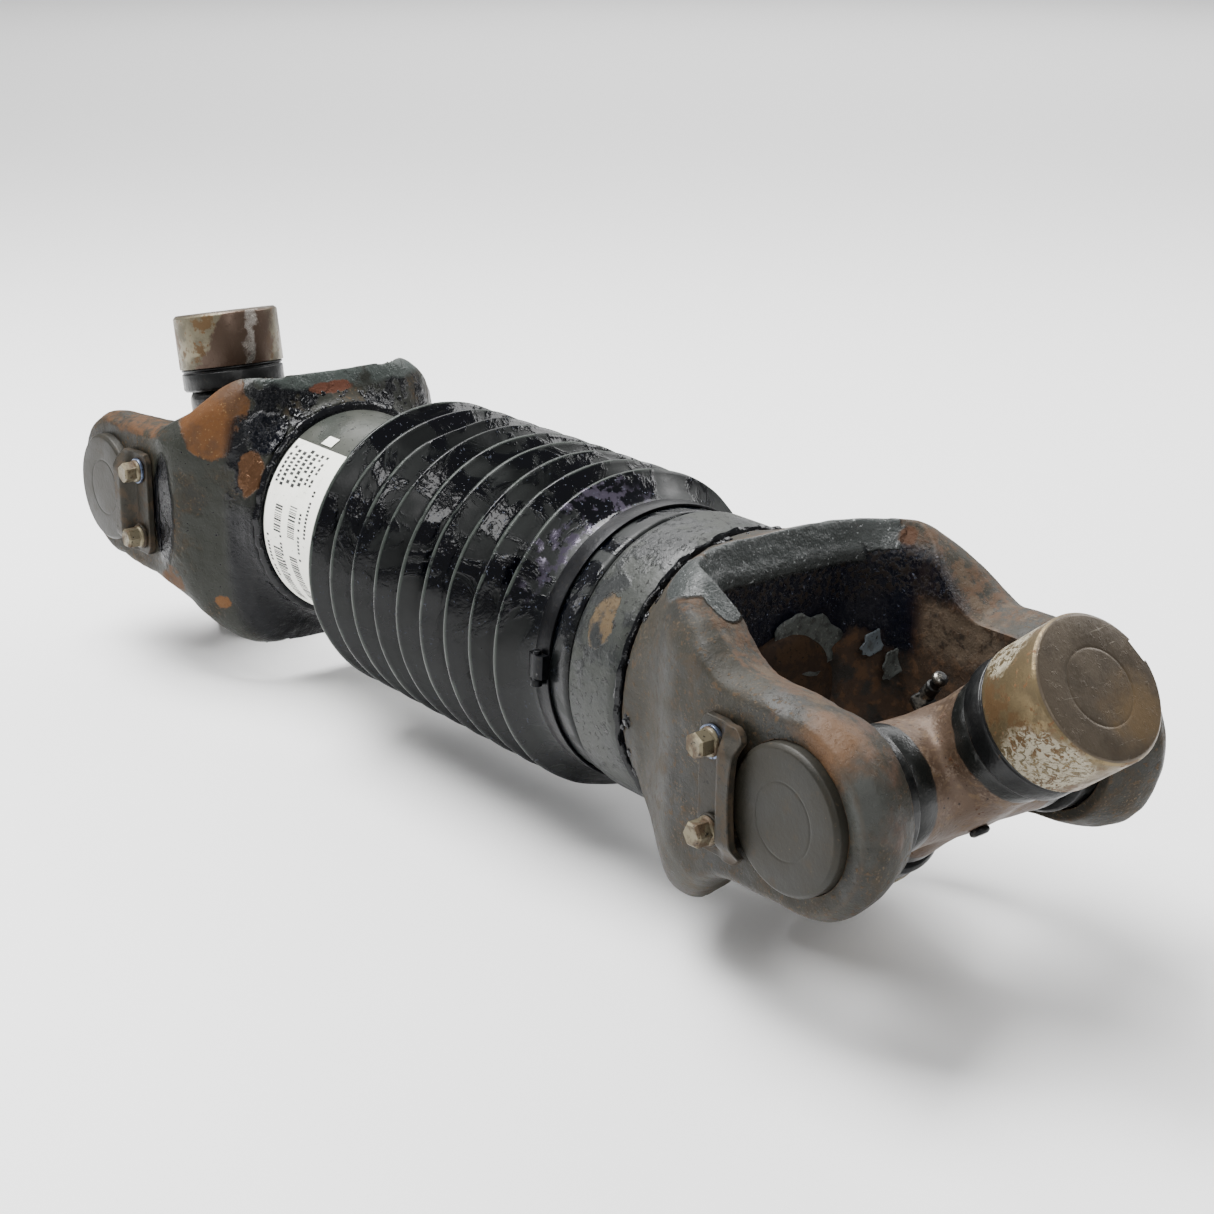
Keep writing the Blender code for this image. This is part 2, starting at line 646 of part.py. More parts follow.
def main():
    clear_scene()
    looks = {
        "yoke": material("yoke_steel", (0.16, 0.13, 0.085), 0.62, 0.35),
        "plug": material("plug_steel", (0.27, 0.15, 0.07), 0.7, 0.3),
        "cross": material("cross_steel", (0.3, 0.2, 0.15), 0.5, 0.6),
        "cup": material("cup_steel", (0.26, 0.22, 0.15), 0.42, 0.7),
        "needles": material("needle_steel", (0.6, 0.6, 0.6), 0.25, 1.0),
        "rubber": material("black_rubber", (0.02, 0.02, 0.022), 0.4, 0.0),
        "tab": material("tab_steel", (0.12, 0.1, 0.07), 0.6, 0.4),
        "bolt": material("plated_steel", (0.42, 0.36, 0.2), 0.4, 0.8),
        "paint": material("grey_paint", (0.16, 0.17, 0.14), 0.5, 0.0),
        "weld": material("weld_steel", (0.07, 0.07, 0.07), 0.35, 0.3),
        "splines": material("spline_steel", (0.5, 0.5, 0.48), 0.3, 1.0),
        "clamp": material("clamp_steel", (0.3, 0.3, 0.3), 0.3, 0.9),
        "label": material("label_paper", (0.85, 0.85, 0.8), 0.6, 0.0),
    }

    # The rear cup reaches furthest back and down, and the front cup furthest forwards.
    rear_reach = cup_reach(math.cos(REAR_FREE_ANGLE), math.sin(REAR_FREE_ANGLE))
    front_reach = cup_reach(math.cos(FRONT_FREE_ANGLE), math.sin(FRONT_FREE_ANGLE))
    axis_height = cup_reach(math.sin(REAR_FREE_ANGLE), math.cos(REAR_FREE_ANGLE))
    front_x = (JOINT_SPACING + rear_reach - front_reach) / 2.0
    front = Matrix.Translation((front_x, 0.0, axis_height))
    rear = Matrix.Translation((front_x - JOINT_SPACING, 0.0, axis_height)) @ Matrix.Rotation(math.pi, 4, "Z")

    build_joint("front", FRONT_BASE, FRONT_FREE_ANGLE, looks, front)
    build_joint("rear", REAR_BASE, REAR_FREE_ANGLE, looks, rear)

    axis = bpy.data.objects.new("shaft_axis_frame", None)
    bpy.context.collection.objects.link(axis)
    axis.matrix_local = front
    build_sleeve(looks["paint"], axis)
    build_spline_shaft(looks["splines"], axis)
    build_tube(looks["paint"], axis)
    build_bead("front_weld_bead", SLEEVE_START + GAP, 56.4 * MM, 62.3 * MM, looks["weld"], axis)
    build_bead("stub_weld_bead", STUB_END + GAP, 47.3 * MM, 52.3 * MM, looks["weld"], axis)
    rear_bead = JOINT_SPACING - REAR_COLLAR - GAP - BEAD_WIDTH
    build_bead("rear_weld_bead", rear_bead, 47.3 * MM, 55.0 * MM, looks["weld"], axis)
    build_boot(looks["rubber"], axis)
    front_clamp = BOOT_SEAT + GAP * 2.0 + BOOT_WALL
    rear_clamp = TUBE_RADIUS + GAP * 2.0 + BOOT_WALL
    build_clamp("front_boot_clamp", 171.0 * MM, front_clamp, looks["clamp"], axis)
    build_clamp("rear_boot_clamp", (REAR_CUFF_START + BOOT_END) / 2.0, rear_clamp, looks["clamp"], axis)
    build_label(looks["label"], axis)


main()
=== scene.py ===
"""Universal joint shaft, weathered and tarred: the finished look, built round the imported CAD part.

Each end of the shaft has a joint frame. Its origin is the centre of the cross and +X points away from the
shaft. Lengths in the code are in millimetres until a shape is placed, and in metres after that.
"""

import json
import math
import random

import bmesh
import bpy
import numpy as np
from mathutils import Matrix, Vector, noise

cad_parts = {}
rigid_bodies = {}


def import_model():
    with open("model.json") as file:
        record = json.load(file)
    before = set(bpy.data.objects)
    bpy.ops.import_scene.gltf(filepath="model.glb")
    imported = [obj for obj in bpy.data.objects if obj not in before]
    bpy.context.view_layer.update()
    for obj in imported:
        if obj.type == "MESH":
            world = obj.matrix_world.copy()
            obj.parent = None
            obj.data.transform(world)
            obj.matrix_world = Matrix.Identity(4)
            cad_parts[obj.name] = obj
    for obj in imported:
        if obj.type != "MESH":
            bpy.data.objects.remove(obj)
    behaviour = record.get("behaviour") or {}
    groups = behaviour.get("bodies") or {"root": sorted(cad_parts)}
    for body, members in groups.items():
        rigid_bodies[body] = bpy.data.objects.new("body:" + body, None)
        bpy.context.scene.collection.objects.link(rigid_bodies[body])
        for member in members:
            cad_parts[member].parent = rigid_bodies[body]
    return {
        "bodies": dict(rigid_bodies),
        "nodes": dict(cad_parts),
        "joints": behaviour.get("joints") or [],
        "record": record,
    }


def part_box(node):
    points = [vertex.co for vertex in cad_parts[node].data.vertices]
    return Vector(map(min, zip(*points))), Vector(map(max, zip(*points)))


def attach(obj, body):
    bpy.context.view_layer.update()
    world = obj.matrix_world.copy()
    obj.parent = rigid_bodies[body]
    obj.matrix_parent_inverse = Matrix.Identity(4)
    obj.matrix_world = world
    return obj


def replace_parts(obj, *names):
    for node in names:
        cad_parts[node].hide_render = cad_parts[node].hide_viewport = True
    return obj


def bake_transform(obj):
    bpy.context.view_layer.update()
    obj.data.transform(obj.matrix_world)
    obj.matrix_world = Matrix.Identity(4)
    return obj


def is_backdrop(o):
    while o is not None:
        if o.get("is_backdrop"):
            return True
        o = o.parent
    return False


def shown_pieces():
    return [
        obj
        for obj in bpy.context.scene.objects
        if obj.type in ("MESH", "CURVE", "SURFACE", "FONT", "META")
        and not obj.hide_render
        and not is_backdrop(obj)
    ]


MM = 0.001
FREE_ANGLES = {"front": 38.28, "rear": 78.25}
CUP_RADIUS = 27.5
CUP_FACE = 82
CUP_MOUTH = 53.5
SEAL_INNER_END = 41.5
SEAL_RADIUS = 26.8
EAR_OUTER = 77
EAR_INNER = 50
EAR_RING = 38.6
EAR_INNER_RING = 32
EAR_CREST = 66
WAIST_HEIGHT = 41
THROAT_DEPTH = 92
THROAT_CORNER = 24
BASE_SIZES = {  # at the front and at the rear
    "shoulder": (69.8, 72),
    "shoulder_from": (36, 42),
    "shoulder_to": (80, 88),
    "width_from": (66, 62),
    "width_to": (105, 103),
    "height_from": (80, 91),
    "end": (118, 102),
    "end_radius": (60.5, 56),
    "boxiness": (4.8, 4.4),
    "rim_depth": (17, 6),  # how far down the throat's rim its chamfer reaches
    "rim_width": (7, 3),
}
BOLT_ALONG = 38.6
BOLT_HALF_PITCH = 17
TUBE_RADIUS = 50.8
BOOT_START = 154.5
FRONT_CUFF_END = 179
FIRST_RIDGE = 190
RIDGE_PITCH = 18.6
RIDGE_COUNT = 9
RIDGE_RADIUS = 69.6
VALLEY_RADIUS = 58.5
BOOT_WALL = 2.3
REAR_CUFF_START = 349
BOOT_END = 361
TUBE_ENDS = (337, 415.6)
TUBE_BORE = 47.3
LABEL_ENDS = (363, 413.5)
LABEL_ANGLES = (36, 150)
TAB_THICKNESS = 3.3
TAB_HALF_HEIGHT = 26
NOTCH_TURN = 19  # where the notch is on the rim of the front upper cup
OBJECT_MIDDLE = (0, 0, 0.08)
CAMERA_OFFSET = (0.52286, -0.55995, 0.31127)  # from the front joint
CAMERA_LENS = 66.87
FLOOR_LEVEL = -0.0005
FLOOR_HALF = 6

TONE = 0.27  # every colour of the object is this much darker than its number, but for its label

CHANCE = random.Random(11)


# Shapes


def smooth_step(value, start, end):
    t = min(max((value - start) / (end - start), 0), 1)
    return t * t * (3 - 2 * t)


def rounded(profile, radius, steps=3):
    """The closed profile with its corners rounded by up to the radius, but for those on the axis."""
    result = []
    for index, point in enumerate(profile):
        here = Vector(point)
        before = Vector(profile[index - 1]) - here
        after = Vector(profile[(index + 1) % len(profile)]) - here
        if point[1] < 0.01:
            result.append(tuple(here))
            continue
        start = here + before.normalized() * min(radius, 0.45 * before.length)
        end = here + after.normalized() * min(radius, 0.45 * after.length)
        for step in range(steps + 1):
            t = step / steps
            result.append(tuple(start * (1 - t) ** 2 + here * 2 * t * (1 - t) + end * t * t))
    return result


def turned(place, degrees, axis):
    """The place turned about one of its own axes."""
    return place @ Matrix.Rotation(math.radians(degrees), 4, axis)


def lathe(profile, place, sides=96, change=None):
    """A shape turned about the place's X axis from a closed profile of (along, radius) points."""
    count = len(profile)
    points = []
    for step in range(sides):
        angle = 2 * math.pi * step / sides
        for along, radius in profile:
            if change:
                along, radius = change(along, radius, angle)
            point = Vector((along, radius * math.cos(angle), radius * math.sin(angle)))
            points.append(place @ (point * MM))
    return points, grid_faces(sides, count)


def shaft_lathe(profile, axis, sides=160, change=None):
    """A shape turned about the shaft, from its distances behind the front joint and its radii."""
    return lathe([(-along, radius) for along, radius in profile], axis, sides, change)


def grid_faces(rows, columns):
    """Faces of a grid that closes on itself both ways."""
    faces = []
    for row in range(rows):
        here = row * columns
        after = (row + 1) % rows * columns
        for column in range(columns):
            beside = (column + 1) % columns
            faces.append((here + column, here + beside, after + beside, after + column))
    return faces


def loft(sections, place):
    """A closed shape through sections with the same number of points."""
    count = len(sections[0])
    points = [place @ (Vector(point) * MM) for section in sections for point in section]
    faces = grid_faces(len(sections), count)[: (len(sections) - 1) * count]
    faces.append(tuple(range(count)))
    faces.append(tuple(range(len(points) - count, len(points))))
    return points, faces


def join(shapes):
    """Several shapes as one list of points and one of faces."""
    points = []
    faces = []
    for shape_points, shape_faces in shapes:
        offset = len(points)
        points += shape_points
        faces += [tuple(corner + offset for corner in face) for face in shape_faces]
    return points, faces


def mesh_object(name, shape, look=None, body=None, angle=35):
    """An object from a shape, smooth where its faces meet by less than the angle, riding on a body."""
    mesh = bpy.data.meshes.new(name)
    points, faces = shape
    mesh.from_pydata(points, [], faces)
    clean = bmesh.new()
    clean.from_mesh(mesh)
    bmesh.ops.remove_doubles(clean, verts=clean.verts, dist=1e-6)
    bmesh.ops.recalc_face_normals(clean, faces=clean.faces)
    clean.to_mesh(mesh)
    clean.free()
    thing = bpy.data.objects.new(name, mesh)
    bpy.context.scene.collection.objects.link(thing)
    shade(thing, angle)
    if look:
        mesh.materials.append(look)
    if body:
        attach(thing, body)
    return thing


def shade(thing, angle):
    thing.data.shade_smooth()
    thing.data.set_sharp_from_angle(angle=math.radians(angle))


def bake(thing):
    """Makes the result of the object's modifiers its own mesh."""
    graph = bpy.context.evaluated_depsgraph_get()
    mesh = bpy.data.meshes.new_from_object(thing.evaluated_get(graph))
    thing.modifiers.clear()
    thing.data = mesh


def remesh(thing, voxel, smoothing):
    """Melts the object's shells into one skin and softens it."""
    skin = thing.modifiers.new("skin", "REMESH")
    skin.mode = "VOXEL"
    skin.voxel_size = voxel * MM
    if smoothing:
        soften = thing.modifiers.new("soften", "SMOOTH")
        soften.iterations = smoothing
        soften.factor = 0.5
    bake(thing)


def carve(thing, shapes):
    """Cuts the shapes out of the object."""
    for shape in shapes:
        cutter = mesh_object("cutter", shape)
        carving = thing.modifiers.new("carve", "BOOLEAN")
        carving.operation = "DIFFERENCE"
        carving.solver = "FAST"
        carving.object = cutter
        bake(thing)
        bpy.data.objects.remove(cutter, do_unlink=True)


def roughen(thing, size, amount, seed):
    """Moves the surface in and out by a smooth noise with features of about this size."""
    mesh = thing.data
    offset = Vector((seed, 2 * seed, -seed))
    count = len(mesh.vertices)
    normals = np.empty(count * 3, np.float32)
    mesh.vertex_normals.foreach_get("vector", normals)
    places = np.empty(count * 3, np.float32)
    mesh.vertices.foreach_get("co", places)
    places = places.reshape(-1, 3)
    scaled = places / (size * MM)
    values = np.array([noise.noise(Vector(point) + offset) for point in scaled], np.float32)
    places += normals.reshape(-1, 3) * values[:, None] * amount * MM
    mesh.vertices.foreach_set("co", places.ravel())
    mesh.update()


# Looks


class Paint:
    """One material in layers. Each has a mask, a colour, and how rough, metallic and high it is."""

    def __init__(self, name, colour, rough, metal=0, tone=TONE, gloss=0.3):
        self.material = bpy.data.materials.new(name)
        self.material.use_nodes = True
        self.nodes = self.material.node_tree.nodes
        self.links = self.material.node_tree.links
        self.shader = self.nodes["Principled BSDF"]
        self.where = self.nodes.new("ShaderNodeTexCoord").outputs["Object"]
        self.tone = tone
        self.shader.inputs["Specular IOR Level"].default_value = gloss
        self.colour = self.toned(colour)
        self.rough = rough
        self.metal = metal
        self.height = 0
        self.seed = len(bpy.data.materials) * 0.37

    def toned(self, colour):
        return tuple(part * self.tone for part in colour)

    def put(self, socket, value):
        if isinstance(value, bpy.types.NodeSocket):
            self.links.new(value, socket)
        elif hasattr(value, "__len__"):
            socket.default_value = (*value, 1) if len(socket.default_value) == 4 else value
        else:
            socket.default_value = value

    def sum(self, operation, first, second):
        node = self.nodes.new("ShaderNodeMath")
        node.operation = operation
        self.put(node.inputs[0], first)
        self.put(node.inputs[1], second)
        return node.outputs[0]

    def both(self, *masks):
        result = masks[0]
        for mask in masks[1:]:
            result = self.sum("MULTIPLY", result, mask)
        return result

    def either(self, *masks):
        result = masks[0]
        for mask in masks[1:]:
            result = self.sum("MAXIMUM", result, mask)
        return result

    def noise(self, size, detail=5, stretch=(1, 1, 1), warp=0):
        """Noise from 0 to 1 with features of about this size."""
        self.seed += 1.7
        mapping = self.nodes.new("ShaderNodeMapping")
        self.links.new(self.where, mapping.inputs["Vector"])
        mapping.inputs["Scale"].default_value = stretch
        mapping.inputs["Location"].default_value = (self.seed, -self.seed, 0.5 * self.seed)
        node = self.nodes.new("ShaderNodeTexNoise")
        self.links.new(mapping.outputs[0], node.inputs["Vector"])
        node.inputs["Scale"].default_value = 1 / (size * MM)
        node.inputs["Detail"].default_value = detail
        node.inputs["Roughness"].default_value = 0.62
        node.inputs["Distortion"].default_value = warp
        return node.outputs["Fac"]

    def band(self, value, low, high):
        """0 where the value is low and 1 where it is high, with a soft edge."""
        node = self.nodes.new("ShaderNodeMapRange")
        node.interpolation_type = "SMOOTHSTEP"
        self.put(node.inputs["Value"], value)
        node.inputs["From Min"].default_value = low
        node.inputs["From Max"].default_value = high
        return node.outputs["Result"]

    def grain(self, size, low, high, detail=5, stretch=(1, 1, 1), warp=0):
        """1 in uneven blotches of about this size and 0 between them."""
        return self.band(self.noise(size, detail, stretch, warp), low, high)

    def wander(self, size, reach):
        """Noise about 0, spread over about this reach."""
        return self.sum("MULTIPLY", self.sum("SUBTRACT", self.noise(size), 0.5), reach)

    def vector(self, operation, first, second=None):
        """The output of a vector node: a number for a length or a dot product."""
        node = self.nodes.new("ShaderNodeVectorMath")
        node.operation = operation
        self.links.new(first, node.inputs[0])
        if second is not None:
            node.inputs[1].default_value = second
        return node.outputs["Value" if operation in ("LENGTH", "DOT_PRODUCT") else "Vector"]

    def along(self, direction, origin):
        """Distance in millimetres from the origin, in metres, along a direction."""
        reach = self.vector("DOT_PRODUCT", self.where, [part / MM for part in direction])
        return self.sum("SUBTRACT", reach, Vector(origin).dot(Vector(direction)) / MM)

    def spot(self, centre, radii, ragged=0.35, edge=0.12, size=12):
        """1 inside an uneven patch about a centre in metres, with its half-widths in millimetres."""
        offset = self.vector("SUBTRACT", self.where, centre)
        scaled = self.vector("MULTIPLY", offset, [1 / (radius * MM) for radius in radii])
        reach = self.sum("ADD", self.vector("LENGTH", scaled), self.wander(size, 4 * ragged))
        return self.band(reach, 1 + edge, 1 - edge)

    def inside(self, place, low, high, soft=2):
        """1 inside a box in a joint's frame, in millimetres."""
        masks = []
        for axis in range(3):
            direction = place.to_3x3().col[axis]
            distance = self.along(direction, place.translation)
            masks.append(self.band(distance, low[axis] - soft, low[axis] + soft))
            masks.append(self.band(distance, high[axis] + soft, high[axis] - soft))
        return self.both(*masks)

    def worn_edge(self, low=0.51, high=0.56):
        """1 along sharp outer edges."""
        return self.band(self.nodes.new("ShaderNodeNewGeometry").outputs["Pointiness"], low, high)

    def mix(self, mask, first, second):
        node = self.nodes.new("ShaderNodeMix")
        is_colour = hasattr(first, "__len__") or hasattr(second, "__len__")
        for value in (first, second):
            if isinstance(value, bpy.types.NodeSocket) and value.type == "RGBA":
                is_colour = True
        node.data_type = "RGBA" if is_colour else "FLOAT"
        chosen = [socket for socket in node.inputs if socket.enabled]
        self.put(chosen[0], mask)
        self.put(chosen[1], first)
        self.put(chosen[2], second)
        return [socket for socket in node.outputs if socket.enabled][0]

    def layer(self, mask, colour, rough=None, metal=None, height=0):
        self.colour = self.mix(mask, self.colour, self.toned(colour))
        if rough is not None:
            self.rough = self.mix(mask, self.rough, rough)
        if metal is not None:
            self.metal = self.mix(mask, self.metal, metal)
        if height:
            self.raise_by(mask, height)

    def stain(self, size, low, high, colour, rough, metal=None, height=0, within=None):
        """A layer in blotches, everywhere or within a mask."""
        mask = self.grain(size, low, high)
        if within is not None:
            mask = self.both(within, mask)
        self.layer(mask, colour, rough, metal, height)

    def raise_by(self, mask, height):
        self.height = self.sum("ADD", self.height, self.sum("MULTIPLY", mask, height))

    def finish(self):
        """Links the layers to the shader. Heights are in millimetres."""
        self.put(self.shader.inputs["Base Color"], self.colour)
        self.put(self.shader.inputs["Roughness"], self.rough)
        self.put(self.shader.inputs["Metallic"], self.metal)
        if isinstance(self.height, bpy.types.NodeSocket):
            bump = self.nodes.new("ShaderNodeBump")
            bump.inputs["Strength"].default_value = 1
            bump.inputs["Distance"].default_value = MM
            self.links.new(self.height, bump.inputs["Height"])
            self.links.new(bump.outputs[0], self.shader.inputs["Normal"])
        return self.material


TAR = (0.005, 0.006, 0.01)
RUST = (0.2, 0.078, 0.025)
OLIVE = (0.06, 0.052, 0.03)
GREY_PAINT = (0.075, 0.084, 0.07)
CREAM = (1, 0.9, 0.66)


def grit(paint, amount=1):
    """The fine unevenness that every old surface here has."""
    paint.raise_by(paint.noise(1.4, 3), 0.16 * amount)
    paint.raise_by(paint.noise(6, 4), 0.5 * amount)


def painted_iron(name, gloss=0.3):
    """Old thin paint over rusting iron."""
    paint = Paint(name, OLIVE, 0.62, gloss=gloss)
    paint.stain(38, 0.42, 0.62, (0.04, 0.039, 0.029), 0.5)
    paint.layer(paint.grain(14, 0.5, 0.68, warp=1), (0.1, 0.07, 0.036), 0.7)
    paint.stain(2.6, 0.56, 0.66, (0.18, 0.11, 0.05), 0.75, height=0.06)
    paint.stain(1.7, 0.6, 0.68, (0.03, 0.028, 0.022), 0.5, height=-0.1)
    dusty = paint.both(paint.grain(1.1, 0.6, 0.66, 2), paint.grain(22, 0.42, 0.6))
    paint.layer(dusty, (0.3, 0.21, 0.12), 0.7)
    grit(paint)
    return paint


def joint_points(place):
    """A function that gives the point at a distance from the cross towards the shaft, across and up."""

    def at(distance, across, height):
        return place @ (Vector((-distance, across, height)) * MM)

    return at


def near_yoke_look(place):
    """Rusty edges, tar inside the throat, and a coat of old paint on its upper rim."""
    paint = painted_iron("near_yoke_iron")
    at = joint_points(place)
    speckle = paint.grain(4, 0.4, 0.6)
    rims = paint.either(
        paint.spot(at(62, -56, 58), (34, 13, 14)),
        paint.spot(at(30, -56, 42), (34, 11, 10)),
        paint.spot(at(84, 54, 62), (26, 20, 10)),
        paint.spot(at(100, -20, 62), (7, 44, 12)),
        paint.spot(at(40, 58, 44), (40, 14, 9)),
    )
    paint.layer(paint.both(rims, speckle), (0.22, 0.12, 0.06), 0.72, height=0.06)
    paint.stain(9, 0.5, 0.6, (0.2, 0.13, 0.07), 0.6, within=rims)
    ear = paint.either(
        paint.spot(at(-8, -64, 20), (34, 14, 34)),
        paint.spot(at(0, -50, -10), (30, 6, 36)),
    )
    paint.stain(16, 0.4, 0.6, (0.2, 0.11, 0.065), 0.6, within=ear)
    paint.layer(paint.spot(at(-17, -72, 33), (14, 9, 15), 0.5, 0.6, 7), (0.32, 0.16, 0.065), 0.6)
    paint.layer(paint.spot(at(-30, -72, 14), (9, 9, 18), 0.5, 0.6, 7), (0.12, 0.125, 0.11), 0.5)
    paint.layer(paint.worn_edge(), (0.2, 0.12, 0.06), 0.55, 0.3)

    cavity = paint.inside(place, (-94, -50.8, -56), (-8, 50.8, 52))
    paint.layer(cavity, (0.16, 0.095, 0.058), 0.7)
    paint.stain(6, 0.48, 0.6, (0.3, 0.16, 0.08), 0.75, height=0.12, within=cavity)
    paint.stain(13, 0.5, 0.62, (0.07, 0.06, 0.05), 0.5, within=cavity)
    wander = paint.sum("MULTIPLY", paint.noise(14), 26)
    height = paint.sum("ADD", paint.along((0, 0, 1), at(0, 0, 0)), wander)
    wall = paint.inside(place, (-94, -48, -60), (-76, 52, 56))
    tarred = paint.both(wall, paint.band(height, 30, 36))
    upper_side = paint.inside(place, (-92, 42, 38), (-40, 52, 58), 4)
    inner_corner = paint.inside(place, (-92, 42, 12), (-70, 52, 58), 4)
    tarred = paint.either(tarred, upper_side, inner_corner)
    paint.layer(tarred, (0.014, 0.018, 0.036), 0.2)
    paint.raise_by(paint.both(tarred, paint.noise(3.5)), 0.9)
    crust = paint.both(tarred, paint.band(height, 46, 52), paint.grain(2.4, 0.5, 0.56))
    paint.layer(crust, (0.05, 0.032, 0.022), 0.6, height=0.25)
    # Small bluish-white specks on the tar are painted glints.
    paint.stain(1.6, 0.64, 0.69, (0.4, 0.45, 0.6), 0.1, within=tarred)
    ledge = paint.inside(place, (-66, 44, 16), (-26, 52, 36), 4)
    paint.stain(5, 0.36, 0.52, (0.34, 0.25, 0.17), 0.6, within=ledge)

    rim = paint.inside(place, (-99.5, -40, 49), (-86, 38, 67.5), 1.2)
    corner = paint.either(
        paint.spot(at(80, -50, 58), (18, 17, 12), 0.06, 0.06),
        paint.spot(at(86, 43, 61), (12, 9, 8), 0.3, 0.06, 6),
    )
    tip = paint.spot(at(70, -55, 56), (15, 8, 9), 0.1, 0.06)
    coat = paint.either(rim, corner, tip)
    paint.layer(coat, (0.12, 0.135, 0.13), 0.24)
    paint.raise_by(paint.both(coat, paint.noise(5, 6)), 1.2)
    paint.raise_by(coat, 0.6)
    paint.stain(1.8, 0.62, 0.67, (0.8, 0.84, 0.84), 0.25, within=coat)
    paint.layer(paint.spot(at(77, 48, 61), (5, 5, 5), 0.3), RUST, 0.7)
    return paint.finish()


def far_yoke_look(place):
    """Old paint with rusty patches on the ear, and towards the tube tar in patches and black over the
    lower half, darker towards the bottom.
    """
    paint = painted_iron("far_yoke_iron", 0.2)
    at = joint_points(place)
    body = paint.band(paint.along((1, 0, 0), at(46, 0, 0)), -8, 8)
    undercoat = paint.both(body, paint.grain(26, 0.36, 0.5))
    paint.layer(undercoat, (0.05, 0.054, 0.04), 0.42, height=0.3)
    top = paint.spot(at(88, -20, 74), (36, 74, 14), 0.15)
    paint.stain(2.4, 0.62, 0.7, TAR, 0.2, within=undercoat)
    patch = paint.spot(at(77, 55, 49), (20, 20, 24), 0.1, 0.03)
    paint.layer(patch, (0.3, 0.115, 0.025), 0.6, height=-0.5)
    paint.stain(18, 0.45, 0.6, (0.2, 0.088, 0.03), 0.6, within=patch)
    paint.stain(1.6, 0.62, 0.68, (0.6, 0.36, 0.15), 0.6, within=patch)
    ear = paint.either(
        paint.spot(at(14, 74, 38), (44, 16, 6)),
        paint.spot(at(55, 77, -36), (13, 12, 8)),
    )
    paint.stain(7, 0.4, 0.6, (0.25, 0.12, 0.05), 0.7, within=ear)
    weld_side = paint.band(paint.along((1, 0, 0), at(90, 0, 0)), -2, 4)
    # Towards the weld, besides tar in patches, the lower half is painted black, darker towards the bottom.
    lower = paint.band(paint.along((0, 0, 1), at(0, 0, 10)), 12, -12)
    tar = paint.both(weld_side, paint.either(lower, paint.grain(18, 0.46, 0.54)))
    grooves = paint.spot(at(56, 78, 0), (10, 9, 27), 0.12)
    steps = paint.band(paint.along((1, 0, 0), at(52, 0, 0)), -0.6, 0.6)
    paint.raise_by(paint.both(grooves, steps), 1.6)
    paint.layer(paint.either(tar, grooves), TAR, 0.16)
    paint.raise_by(paint.both(paint.either(tar, grooves), paint.noise(5)), 0.8)
    paint.stain(15, 0.3, 0.42, (0.15, 0.18, 0.165), 0.32, within=top)
    fold = paint.spot(at(99, 41, 43), (9, 11, 10), 0.3)
    paint.layer(fold, (0.004, 0.006, 0.014), 0.1)
    paint.raise_by(paint.both(fold, paint.noise(6, 3, (1, 0.5, 0.5))), 3)
    bare = paint.spot(at(101, 52, 25), (6, 8, 11), 0.3, 0.1, 7)
    paint.layer(bare, (0.3, 0.15, 0.075), 0.25, 0.6, height=-0.5)
    paint.layer(paint.spot(at(86, 62, -43), (3.5, 7, 3.5), 0.35, size=4), (0.4, 0.18, 0.06), 0.7)
    paint.layer(paint.spot(at(98, 3, 61), (3.5, 12, 3), 0.25, size=6), (0.27, 0.09, 0.045), 0.7)
    paint.layer(paint.worn_edge(0.53, 0.6), (0.13, 0.1, 0.07), 0.5, 0.2)
    return paint.finish()


def cross_look(name, tint, centre):
    paint = Paint(name, tint, 0.5, 0.35)
    paint.stain(20, 0.42, 0.62, (0.24, 0.155, 0.1), 0.42)
    paint.layer(paint.grain(8, 0.52, 0.66, warp=1.5), (0.4, 0.26, 0.15), 0.6)
    paint.stain(3, 0.6, 0.68, RUST, 0.75, 0.1, height=0.08)
    paint.stain(1.8, 0.62, 0.68, (0.04, 0.03, 0.026), 0.5)
    dusty = paint.both(paint.grain(1.5, 0.48, 0.6), paint.grain(16, 0.44, 0.6))
    paint.layer(dusty, (0.46, 0.33, 0.24), 0.65, 0.1)
    neck = paint.sum("SUBTRACT", 1, paint.spot(centre, (39.8, 39.8, 39.8), 0.02, 0.01))
    paint.layer(neck, (0.02, 0.022, 0.02), 0.3, 0)
    grit(paint, 0.7)
    return paint.finish()


